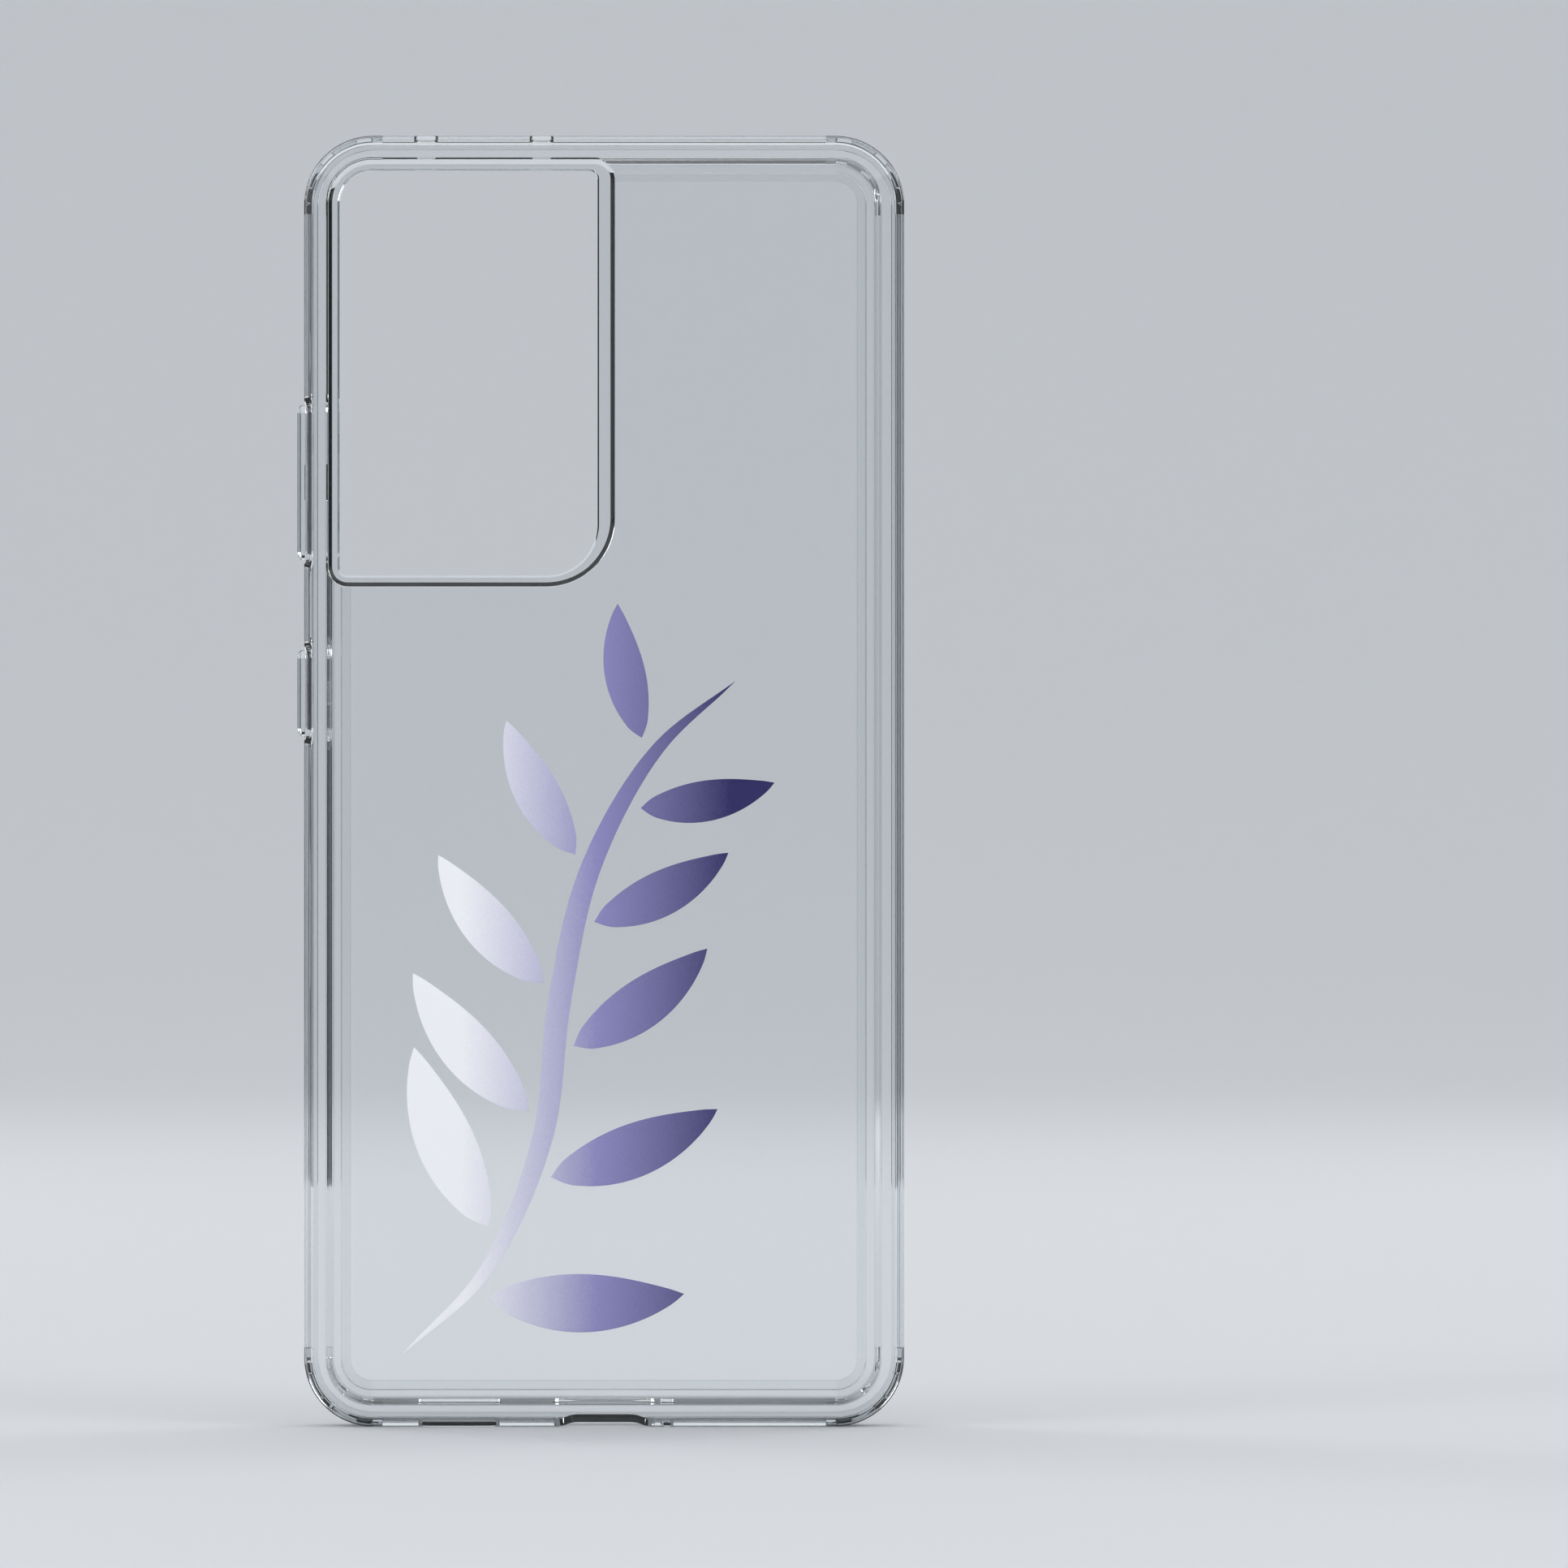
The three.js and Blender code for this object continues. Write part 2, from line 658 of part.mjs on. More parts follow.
const SOFT_CLEAR = { color: 0xe4e7ea, roughness: 0.18 };
const HARD_CLEAR = { color: 0xf0f3f6, roughness: 0.06 };
const INK_ACROSS = [0xf7f6fb, 0x9d99c6, 0x221b5e].map((hex) => new THREE.Color(hex));

// Ink over one point: white towards the button side, lavender in the middle, indigo beyond.
function inkLook(x) {
  const share = THREE.MathUtils.clamp(0.5 - (x - BODY_X) / PRINT_WIDTH, 0, 1) * 2;
  const color = new THREE.Color();
  if (share < 1) {
    color.lerpColors(INK_ACROSS[0], INK_ACROSS[1], share);
  } else {
    color.lerpColors(INK_ACROSS[1], INK_ACROSS[2], share - 1);
  }
  return { color, roughness: 0.35 };
}

addPiece('bumper_frame', bumperFrame(), SOFT_CLEAR);
addPiece('back_panel', backPanel(), HARD_CLEAR);
addPiece('camera_bezel', cameraBezel(), SOFT_CLEAR);

const CORNER_NAMES = [
  'corner_cushion_bottom_button_side',
  'corner_cushion_top_button_side',
  'corner_cushion_top_plain_side',
  'corner_cushion_bottom_plain_side',
];
cornerArcs(CASE_OUTLINE).forEach((arc, index) => {
  addPiece(CORNER_NAMES[index], cornerCushion(arc), SOFT_CLEAR);
});

addPiece('volume_button', buttonBar(VOLUME, [VOLUME.halfLength / 2, -VOLUME.halfLength / 2]), SOFT_CLEAR);
addPiece('volume_button_web', buttonWeb(VOLUME), SOFT_CLEAR);
addPiece('power_button', buttonBar(POWER, [0]), SOFT_CLEAR);
addPiece('power_button_web', buttonWeb(POWER), SOFT_CLEAR);

addPiece('print_stem', brushStroke(STEM_CURVE, STEM_WIDTH, STEM_WIDEST, STEM_STEPS), inkLook(BODY_X));
for (let pair = 0; pair < LEAF_PAIRS; pair += 1) {
  const size = LEAF_SIZE * (1 - LEAF_TAPER * pair);
  const place = LEAF_FIRST + ((LEAF_LAST - LEAF_FIRST) * pair) / (LEAF_PAIRS - 1);
  const plainSide = leafCurve(place, 1, size);
  const buttonSide = leafCurve(place + LEAF_STAGGER, -1, size);
  const stroke = (curve) => brushStroke(curve, LEAF_WIDTH * size, LEAF_WIDEST, STROKE_STEPS);
  addPiece(`print_leaf_plain_side_${pair + 1}`, stroke(plainSide), inkLook(plainSide.v1.x));
  addPiece(`print_leaf_button_side_${pair + 1}`, stroke(buttonSide), inkLook(buttonSide.v1.x));
}

export default part;
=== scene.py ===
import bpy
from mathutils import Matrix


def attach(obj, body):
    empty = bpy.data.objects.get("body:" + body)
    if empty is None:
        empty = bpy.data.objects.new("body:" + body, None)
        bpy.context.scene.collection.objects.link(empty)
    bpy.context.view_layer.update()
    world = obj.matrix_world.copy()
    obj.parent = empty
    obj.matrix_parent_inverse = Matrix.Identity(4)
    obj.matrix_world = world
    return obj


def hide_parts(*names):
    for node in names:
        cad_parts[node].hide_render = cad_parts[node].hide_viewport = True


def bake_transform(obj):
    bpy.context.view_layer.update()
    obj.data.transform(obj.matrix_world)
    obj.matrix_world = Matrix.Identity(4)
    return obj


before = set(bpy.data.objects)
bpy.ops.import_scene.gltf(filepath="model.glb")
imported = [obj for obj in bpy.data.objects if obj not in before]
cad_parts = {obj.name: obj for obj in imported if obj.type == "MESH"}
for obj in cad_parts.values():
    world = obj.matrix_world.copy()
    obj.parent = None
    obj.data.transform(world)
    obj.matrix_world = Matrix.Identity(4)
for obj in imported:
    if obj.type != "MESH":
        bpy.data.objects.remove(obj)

"""Clear phone case with a printed leaf sprig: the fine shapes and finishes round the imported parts.

Sizes are in millimetres until mm() turns them to metres. +Z runs up the case to the camera end,
the open screen side faces -Y, the printed back faces +Y and the buttons are on the +X side.
"""

import logging
import math
from dataclasses import dataclass, field
from enum import Enum
from functools import partial
from typing import Callable, Iterable, Sequence

import bmesh
import bpy
from mathutils import Matrix, Vector

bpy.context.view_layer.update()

LOG = logging.getLogger("phone_case")

AXIS_X = Vector((1, 0, 0))
AXIS_Y = Vector((0, 1, 0))
AXIS_Z = Vector((0, 0, 1))

# How far a cutting tool reaches past the wall that it cuts.
OVERRUN = 2.0
# Points of a sweep that are closer than this are one point.
SAME_POINT = 0.0008
# Steps in each corner arc: of an outline as wide as the case, of a pill, and of a small pad.
WIDE_STEPS = 24
PILL_STEPS = 16
SMALL_STEPS = 6


class Body(Enum):
    """The bodies that pieces ride on."""

    SHELL = "case_shell"
    ROCKER = "volume_rocker"
    KEY = "power_key"


class Slot(Enum):
    """The record's material slots."""

    SOFT_CLEAR = "clear_tpu"
    HARD_CLEAR = "clear_polycarbonate"
    INK_WHITE = "print_ink_white"
    INK_LAVENDER = "print_ink_lavender"
    INK_INDIGO = "print_ink_indigo"


class Cut(Enum):
    """What a boolean does with the tools it is given."""

    AWAY = "DIFFERENCE"
    TOGETHER = "UNION"


class End(Enum):
    """The two short ends of the case, by the way along Z that leads into the case."""

    PORT = 1
    CAMERA = -1


# ---- Small tools ----


def mm(value: float) -> float:
    """Millimetres as metres."""
    return value * 0.001


def linear(hex_colour: str) -> tuple[float, float, float, float]:
    """Turns an sRGB hex colour to the linear colour that a shader socket takes.

    Args:
        hex_colour: Six hex digits, with or without a leading hash.

    Returns:
        Red, green, blue and an alpha of 1.
    """
    digits = hex_colour.lstrip("#")
    channels = []
    for start in (0, 2, 4):
        value = int(digits[start : start + 2], 16) / 255
        channels.append(value / 12.92 if value <= 0.04045 else ((value + 0.055) / 1.055) ** 2.4)
    return (channels[0], channels[1], channels[2], 1.0)


def add_node(
    tree: bpy.types.NodeTree, kind: str, inputs: dict | None = None, **settings: object
) -> bpy.types.Node:
    """Adds one node with its settings, values and links.

    Args:
        tree: The node tree it goes into.
        kind: The node's type name.
        inputs: Socket name or number to a plain value, or to the output socket that feeds it, or
            to a node, which feeds it from its first output.
        settings: The node's own properties.

    Returns:
        The new node.
    """
    node = tree.nodes.new(kind)
    for name, value in settings.items():
        setattr(node, name, value)
    for name, value in (inputs or {}).items():
        if isinstance(value, bpy.types.Node):
            value = value.outputs[0]
        if isinstance(value, bpy.types.NodeSocket):
            tree.links.new(value, node.inputs[name])
        else:
            node.inputs[name].default_value = value
    return node


def start_material(name: str) -> tuple[bpy.types.Material, Callable[..., bpy.types.Node]]:
    """Starts an empty node material.

    Args:
        name: The material's name.

    Returns:
        The material, and add_node tied to its tree.
    """
    material = bpy.data.materials.new(name)
    material.use_nodes = True
    material.node_tree.nodes.clear()
    return material, partial(add_node, material.node_tree)


def new_object(name: str, bm: bmesh.types.BMesh) -> bpy.types.Object:
    """Turns a bmesh into a linked object at the origin and frees the bmesh.

    Args:
        name: The object's name.
        bm: Its shape.

    Returns:
        The new object.
    """
    mesh = bpy.data.meshes.new(name)
    bm.to_mesh(mesh)
    bm.free()
    piece = bpy.data.objects.new(name, mesh)
    bpy.context.scene.collection.objects.link(piece)
    return piece


def apply_modifiers(piece: bpy.types.Object) -> None:
    """Bakes a piece's modifiers into its mesh and takes them off.

    Args:
        piece: The mesh object.
    """
    graph = bpy.context.evaluated_depsgraph_get()
    baked = bpy.data.meshes.new_from_object(piece.evaluated_get(graph))
    old = piece.data
    piece.modifiers.clear()
    piece.data = baked
    bpy.data.meshes.remove(old)


def boolean(piece: bpy.types.Object, tools: Sequence[bpy.types.Object], cut: Cut) -> None:
    """Cuts tools out of a piece in one go, or joins them to it, and deletes the tools.

    Args:
        piece: The mesh object that is changed.
        tools: Closed meshes that don't touch each other.
        cut: Whether they are cut away or joined.
    """
    bm = bmesh.new()
    for tool in tools:
        bm.from_mesh(tool.data)
        bpy.data.objects.remove(tool)
    together = new_object("tools", bm)
    modifier = piece.modifiers.new("cut", "BOOLEAN")
    modifier.operation = cut.value
    modifier.solver = "EXACT"
    modifier.object = together
    apply_modifiers(piece)
    bpy.data.objects.remove(together)


def shade(piece: bpy.types.Object, sharp_degrees: float = 40.0) -> None:
    """Shades a piece smooth, keeps its cut edges crisp and its flat faces flat.

    Args:
        piece: The mesh object.
        sharp_degrees: Edges that turn by more than this stay crisp.
    """
    mesh = piece.data
    mesh.polygons.foreach_set("use_smooth", [True] * len(mesh.polygons))
    mesh.set_sharp_from_angle(angle=math.radians(sharp_degrees))
    piece.modifiers.new("flat_faces", "WEIGHTED_NORMAL").keep_sharp = True
    apply_modifiers(piece)


# ---- Outlines and sweeps ----


@dataclass(frozen=True)
class Plane:
    """The ways that an outline's width, its height and its depth run."""

    across: Vector
    up: Vector
    through: Vector


FACE = Plane(AXIS_X, AXIS_Z, AXIS_Y)
BUTTON_WALL = Plane(AXIS_Y, AXIS_Z, AXIS_X)
END_WALL = Plane(AXIS_X, AXIS_Y, AXIS_Z)


@dataclass(frozen=True)
class Outline:
    """Rounded rectangle in a plane, walked counter-clockwise from its lower right corner.

    Radii are in the order lower right, upper right, upper left, lower left.
    """

    left: float
    right: float
    bottom: float
    top: float
    radii: tuple[float, float, float, float]
    plane: Plane = FACE

    @classmethod
    def centred(
        cls, plane: Plane, middle: tuple[float, float], half: tuple[float, float], radius: float
    ) -> "Outline":
        """Makes an outline round a middle point, with four equal corners.

        Args:
            plane: The plane it lies in.
            middle: Its middle, across and up.
            half: Half its width and half its height.
            radius: The radius of its corners.

        Returns:
            The outline.
        """
        left, right = middle[0] - half[0], middle[0] + half[0]
        return cls(left, right, middle[1] - half[1], middle[1] + half[1], (radius,) * 4, plane)

    def at(self, across: float, up: float, through: float = 0.0) -> Vector:
        """A point of the outline's plane, in metres."""
        plane = self.plane
        return (plane.across * across + plane.up * up + plane.through * through) * mm(1)

    def centres(self) -> list[Vector]:
        """Centres of the four corner arcs, in metres."""
        r = self.radii
        return [
            self.at(self.right - r[0], self.bottom + r[0]),
            self.at(self.right - r[1], self.top - r[1]),
            self.at(self.left + r[2], self.top - r[2]),
            self.at(self.left + r[3], self.bottom + r[3]),
        ]

    def normals(self) -> list[Vector]:
        """Outward directions where each corner arc ends."""
        return [self.plane.across, self.plane.up, -self.plane.across, -self.plane.up]

    def axis(self) -> Vector:
        """The axis that the walk turns round."""
        return self.plane.across.cross(self.plane.up)


@dataclass(frozen=True)
class Corner:
    """One corner of a swept section: how far in, how deep, and the radius it is rounded to."""

    inset: float
    depth: float
    radius: float = 0.0


def round_corners(
    bm: bmesh.types.BMesh, verts: list[bmesh.types.BMVert], reach: float, segments: int
) -> None:
    """Rounds corners of a drawn line.

    Args:
        bm: The mesh that the line is drawn in.
        verts: The corners.
        reach: How far from its corner the rounding starts, in metres.
        segments: Segments of each rounding.
    """
    bmesh.ops.bevel(
        bm,
        geom=verts,
        offset=reach,
        offset_type="OFFSET",
        segments=segments,
        profile=0.5,
        affect="VERTICES",
        clamp_overlap=True,
        material=-1,
    )


def draw_section(
    bm: bmesh.types.BMesh, outline: Outline, section: Sequence[Corner], closed: bool
) -> list:
    """Draws a section where the outline starts, and rounds its corners.

    Args:
        bm: The mesh that it is drawn in.
        outline: The outline that it will be swept round.
        section: The section's corners, in order.
        closed: True if the last corner joins the first.

    Returns:
        The section's vertices and edges.
    """
    start = outline.right - outline.radii[0]
    before = set(bm.verts)
    corners = [
        bm.verts.new(outline.at(start, outline.bottom + corner.inset, corner.depth))
        for corner in section
    ]
    for index in range(len(corners) if closed else len(corners) - 1):
        bm.edges.new((corners[index], corners[(index + 1) % len(corners)]))
    for radius in sorted({corner.radius for corner in section if corner.radius > 0}):
        rounded = [v for v, corner in zip(corners, section) if corner.radius == radius]
        round_corners(bm, rounded, mm(radius), segments=4)
    verts = [v for v in bm.verts if v not in before]
    edges = [e for e in bm.edges if e.verts[0] not in before]
    return verts + edges


def turn(bm: bmesh.types.BMesh, ring: list, outline: Outline, centre: Vector, steps: int) -> list:
    """Spins a section a quarter turn round a corner of an outline.

    Args:
        bm: The mesh that it is in.
        ring: The section's vertices and edges.
        outline: The outline.
        centre: The centre of the corner's arc.
        steps: Steps of the turn.

    Returns:
        The vertices and edges where the turn ends.
    """
    made = bmesh.ops.spin(
        bm,
        geom=ring,
        cent=centre,
        axis=outline.axis(),
        angle=math.pi / 2,
        steps=steps,
        use_merge=False,
        use_duplicate=False,
    )
    return made["geom_last"]


def run(bm: bmesh.types.BMesh, ring: list, way: Vector) -> list:
    """Extrudes a section along a straight.

    Args:
        bm: The mesh that it is in.
        ring: The section's vertices and edges.
        way: How far it goes and which way, in metres.

    Returns:
        The vertices and edges where the straight ends.
    """
    if way.length < 1e-7:
        return ring
    edges = [e for e in ring if isinstance(e, bmesh.types.BMEdge)]
    made = bmesh.ops.extrude_edge_only(bm, edges=edges)["geom"]
    moved = [v for v in made if isinstance(v, bmesh.types.BMVert)]
    bmesh.ops.translate(bm, verts=moved, vec=way)
    return [g for g in made if not isinstance(g, bmesh.types.BMFace)]


def sweep(
    bm: bmesh.types.BMesh,
    outline: Outline,
    section: Sequence[Corner],
    closed: bool = False,
    steps: int = WIDE_STEPS,
) -> None:
    """Sweeps a section all the way round an outline.

    Args:
        bm: The mesh that it goes into.
        outline: The rounded rectangle it follows.
        section: The section's corners, with insets measured inwards from the outline.
        closed: True for a ring, False for a wall whose two open rims are capped later.
        steps: Steps in each corner arc.
    """
    ring = draw_section(bm, outline, section, closed)
    centres = outline.centres()
    for index, normal in enumerate(outline.normals()):
        ring = turn(bm, ring, outline, centres[index], steps)
        after = (index + 1) % 4
        here = centres[index] + normal * mm(outline.radii[index])
        there = centres[after] + normal * mm(outline.radii[after])
        ring = run(bm, ring, there - here)
    bmesh.ops.remove_doubles(bm, verts=bm.verts, dist=mm(SAME_POINT))


def cap_and_orient(bm: bmesh.types.BMesh) -> None:
    """Closes the open rims of a mesh with flat faces and turns every face outwards.

    Args:
        bm: The mesh.
    """
    rims = [edge for edge in bm.edges if edge.is_boundary]
    if rims:
        bmesh.ops.holes_fill(bm, edges=rims, sides=0)
    bmesh.ops.recalc_face_normals(bm, faces=bm.faces)
    if bm.calc_volume(signed=True) < 0:
        bmesh.ops.reverse_faces(bm, faces=bm.faces)


def solid(
    name: str,
    outline: Outline,
    section: Sequence[Corner],
    steps: int = WIDE_STEPS,
    closed: bool = False,
) -> bpy.types.Object:
    """Sweeps a section round an outline into a closed solid.

    Args:
        name: The object's name.
        outline: The outline.
        section: The section's corners.
        steps: Steps in each corner arc.
        closed: True for a ring, False for a solid that is capped flat at the section's two ends.

    Returns:
        The new object.
    """
    bm = bmesh.new()
    sweep(bm, outline, section, closed, steps)
    cap_and_orient(bm)
    return new_object(name, bm)


# ---- Finishes ----


@dataclass(frozen=True)
class ClearMoulding:
    """A clear moulded plastic.

    The eye gets its clear depth from refraction, a faint cool tint where light runs along the
    wall, a slow orange-peel swell from the mould, and hairlines and finger haze on the gloss.
    """

    name: str
    tint: str
    ior: float
    gloss: float
    haze: float
    swell_mm: float
    swell_height_mm: float
    hairline_mm: float
    absorb: str
    absorb_per_metre: float
    hairline_roughness: float = 0.05
    hairline_tilt: float = 0.6
    smudge_mm: float = 17.0

    def hairlines(self, add: Callable[..., bpy.types.Node], way: object, thin: float) -> bpy.types.Node:
        """Noise drawn out along Z into hairlines.

        They are drawn about ten times as wide as real ones, because finer ones don't show.

        Args:
            add: add_node tied to the material's tree.
            way: The coordinates that they lie in.
            thin: How far the noise is drawn out, as a share of its own scale.

        Returns:
            The noise node.
        """
        drawn = add("ShaderNodeMapping", {"Vector": way, "Scale": (1.0, 1.0, thin)})
        scale = 1 / mm(self.hairline_mm)
        return add(
            "ShaderNodeTexNoise", {"Vector": drawn, "Scale": scale, "Detail": 3.0, "Roughness": 0.7}
        )

    def make(self) -> bpy.types.Material:
        """Builds the node material: slow swell in the normal, haze and hairlines in the gloss.

        Returns:
            The material.
        """
        material, add = start_material(self.name)
        place = add("ShaderNodeTexCoord").outputs["Object"]
        tilted = add("ShaderNodeMapping", {"Vector": place, "Rotation": (0.0, self.hairline_tilt, 0.0)})
        upright, leaning = self.hairlines(add, place, 0.06), self.hairlines(add, tilted, 0.05)
        hair = add("ShaderNodeMath", {0: upright, 1: leaning}, operation="MAXIMUM")
        hair_share = add(
            "ShaderNodeMapRange",
            {"Value": hair, "From Min": 0.66, "From Max": 0.8, "To Max": self.hairline_roughness},
        )
        smudge = add(
            "ShaderNodeTexNoise",
            {"Vector": place, "Scale": 1 / mm(self.smudge_mm), "Detail": 4.0, "Roughness": 0.6},
        )
        haze = add(
            "ShaderNodeMapRange",
            {
                "Value": smudge,
                "From Min": 0.45,
                "From Max": 0.75,
                "To Min": self.gloss,
                "To Max": self.haze,
            },
        )
        roughness = add("ShaderNodeMath", {0: haze, 1: hair_share}, operation="ADD", use_clamp=True)
        swell = add(
            "ShaderNodeTexNoise",
            {"Vector": place, "Scale": 1 / mm(self.swell_mm), "Detail": 2.0, "Roughness": 0.4},
        )
        bump = add(
            "ShaderNodeBump",
            {"Height": swell, "Strength": 1.0, "Distance": mm(self.swell_height_mm)},
        )
        shader = add(
            "ShaderNodeBsdfPrincipled",
            {
                "Base Color": linear(self.tint),
                "Roughness": roughness,
                "IOR": self.ior,
                "Transmission Weight": 1.0,
                "Normal": bump,
            },
        )
        depth = add(
            "ShaderNodeVolumeAbsorption",
            {"Color": linear(self.absorb), "Density": self.absorb_per_metre},
        )
        add("ShaderNodeOutputMaterial", {"Surface": shader, "Volume": depth})
        return material


@dataclass(frozen=True)
class CuredInk:
    """Ultraviolet-cured print ink over a white underbase.

    The eye gets an even fade across the print, a fine droplet grain, faint passes of the print
    head and a satin skin. From inside the case only the white underbase shows.
    """

    name: str
    fade: tuple[str, str, str]
    fade_from_mm: float
    fade_to_mm: float
    underbase: str
    underbase_top_mm: float
    # Real droplets are about 0.04 mm across. They are drawn coarser, so that the grain shows.
    droplet_mm: float
    droplet_scatter_mm: float
    pass_mm: float
    pass_share: float = 0.35
    relief_mm: float = 0.012

    def colour(self, add: Callable[..., bpy.types.Node], place: object, grain: object) -> object:
        """The fade across the print, with the underbase under it.

        Args:
            add: add_node tied to the material's tree.
            place: The object coordinates.
            grain: The droplet noise, which scatters the fade.

        Returns:
            The colour's output socket.
        """
        axes = add("ShaderNodeSeparateXYZ", {"Vector": place})
        scatter = mm(self.droplet_scatter_mm)
        jitter = add("ShaderNodeMapRange", {"Value": grain, "To Min": -scatter, "To Max": scatter})
        across = add("ShaderNodeMath", {0: axes.outputs["X"], 1: jitter})
        fade_from, fade_to = mm(self.fade_from_mm), mm(self.fade_to_mm)
        share = add("ShaderNodeMapRange", {"Value": across, "From Min": fade_from, "From Max": fade_to})
        ramp = add("ShaderNodeValToRGB", {"Fac": share})
        stops = ramp.color_ramp.elements
        stops[0].color = linear(self.fade[0])
        stops[1].color = linear(self.fade[2])
        stops.new(0.5).color = linear(self.fade[1])
        under = add(
            "ShaderNodeMath",
            {0: axes.outputs["Y"], 1: mm(self.underbase_top_mm)},
            operation="LESS_THAN",
        )
        # Sockets 6 and 7 of the Mix node are its two colours, and output 2 is its colour result.
        mixed = {"Factor": under, 6: ramp, 7: linear(self.underbase)}
        return add("ShaderNodeMix", mixed, data_type="RGBA").outputs[2]

    def make(self) -> bpy.types.Material:
        """Builds the node material: the fade, the droplets and the print head's passes.

        Returns:
            The material.
        """
        material, add = start_material(self.name)
        place = add("ShaderNodeTexCoord").outputs["Object"]
        grain = add(
            "ShaderNodeTexNoise",
            {"Vector": place, "Scale": 1 / mm(self.droplet_mm), "Detail": 2.0, "Roughness": 0.6},
        )
        # The wave node repeats every pi / (10 * scale).
        passes = add(
            "ShaderNodeTexWave",
            {"Vector": place, "Scale": math.pi / (10 * mm(self.pass_mm)), "Distortion": 0.4},
            bands_direction="Z",
        )
        height = add(
            "ShaderNodeMath",
            {0: passes.outputs["Fac"], 1: self.pass_share, 2: grain},
            operation="MULTIPLY_ADD",
        )
        bump = add("ShaderNodeBump", {"Height": height, "Strength": 0.6, "Distance": mm(self.relief_mm)})
        roughness = add("ShaderNodeMapRange", {"Value": grain, "To Min": 0.28, "To Max": 0.5})
        colour = self.colour(add, place, grain)
        shader = add(
            "ShaderNodeBsdfPrincipled",
            {"Base Color": colour, "Roughness": roughness, "IOR": 1.5, "Normal": bump},
        )
        add("ShaderNodeOutputMaterial", {"Surface": shader})
        return material


@dataclass(frozen=True)
class StudioPaper:
    """Matt studio paper or card, with a faint even tooth."""

    name: str
    tone: str
    tooth_mm: float = 6.0

    def make(self) -> bpy.types.Material:
        """Builds the node material.

        Returns:
            The material.
        """
        material, add = start_material(self.name)
        place = add("ShaderNodeTexCoord").outputs["Object"]
        tooth = add(
            "ShaderNodeTexNoise", {"Vector": place, "Scale": 1 / mm(self.tooth_mm), "Detail": 2.0}
        )
        roughness = add("ShaderNodeMapRange", {"Value": tooth, "To Min": 0.85, "To Max": 0.95})
        shader = add(
            "ShaderNodeBsdfPrincipled",
            {"Base Color": linear(self.tone), "Roughness": roughness, "Specular IOR Level": 0.2},
        )
        add("ShaderNodeOutputMaterial", {"Surface": shader})
        return material


# Thermoplastic polyurethane from a polished mould. It gives the eye a soft-looking clear gloss.
SOFT_MOULDING = ClearMoulding(
    name="clear_polyurethane_moulded",
    tint="#F4F6F7",
    ior=1.5,
    gloss=0.006,
    haze=0.04,
    swell_mm=6.0,
    swell_height_mm=0.002,
    hairline_mm=0.35,
    absorb="#D5DEE2",
    absorb_per_metre=55.0,
)

# Moulded and polished polycarbonate. It gives sharper reflections and a stronger bend.
HARD_MOULDING = ClearMoulding(
    name="clear_polycarbonate_polished",
    tint="#F6F8F9",
    ior=1.585,
    gloss=0.004,
    haze=0.035,
    swell_mm=9.0,
    swell_height_mm=0.006,
    hairline_mm=0.25,
    absorb="#DCE3E8",
    absorb_per_metre=60.0,
)

# Ink jetted and cured on a white underbase. It gives satin colour with crisp edges.
PRINT_INK = CuredInk(
    name="ultraviolet_cured_ink",
    fade=("#221B5E", "#8F8BC0", "#F9F8FC"),
    fade_from_mm=-17.0,
    fade_to_mm=18.0,
    underbase="#F2F2F4",
    underbase_top_mm=5.53,
    droplet_mm=0.22,
    droplet_scatter_mm=1.6,
    pass_mm=1.1,
)


@dataclass
class Finishes:
    """Every finish of the case, made once."""

    soft: bpy.types.Material = field(default_factory=SOFT_MOULDING.make)
    hard: bpy.types.Material = field(default_factory=HARD_MOULDING.make)
    ink: bpy.types.Material = field(default_factory=PRINT_INK.make)


def dress(
    piece: bpy.types.Object,
    material: bpy.types.Material,
    slot: Slot,
    nodes: Iterable[str],
    body: Body | None,
) -> bpy.types.Object:
    """Gives a piece its finish, hides the CAD nodes it stands for and puts it on its body.

    Args:
        piece: The finished mesh object.
        material: Its finish.
        slot: The record's material slot; not used.
        nodes: CAD nodes that it replaces.
        body: The body it rides on, or None, which leaves it on no body.

    Returns:
        The piece.
    """
    piece.data.materials.clear()
    piece.data.materials.append(material)
    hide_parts(*nodes)
    if body is not None:
        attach(piece, body.value)
    LOG.info("%s: %d faces", piece.name, len(piece.data.polygons))
    return piece


# ---- The case ----


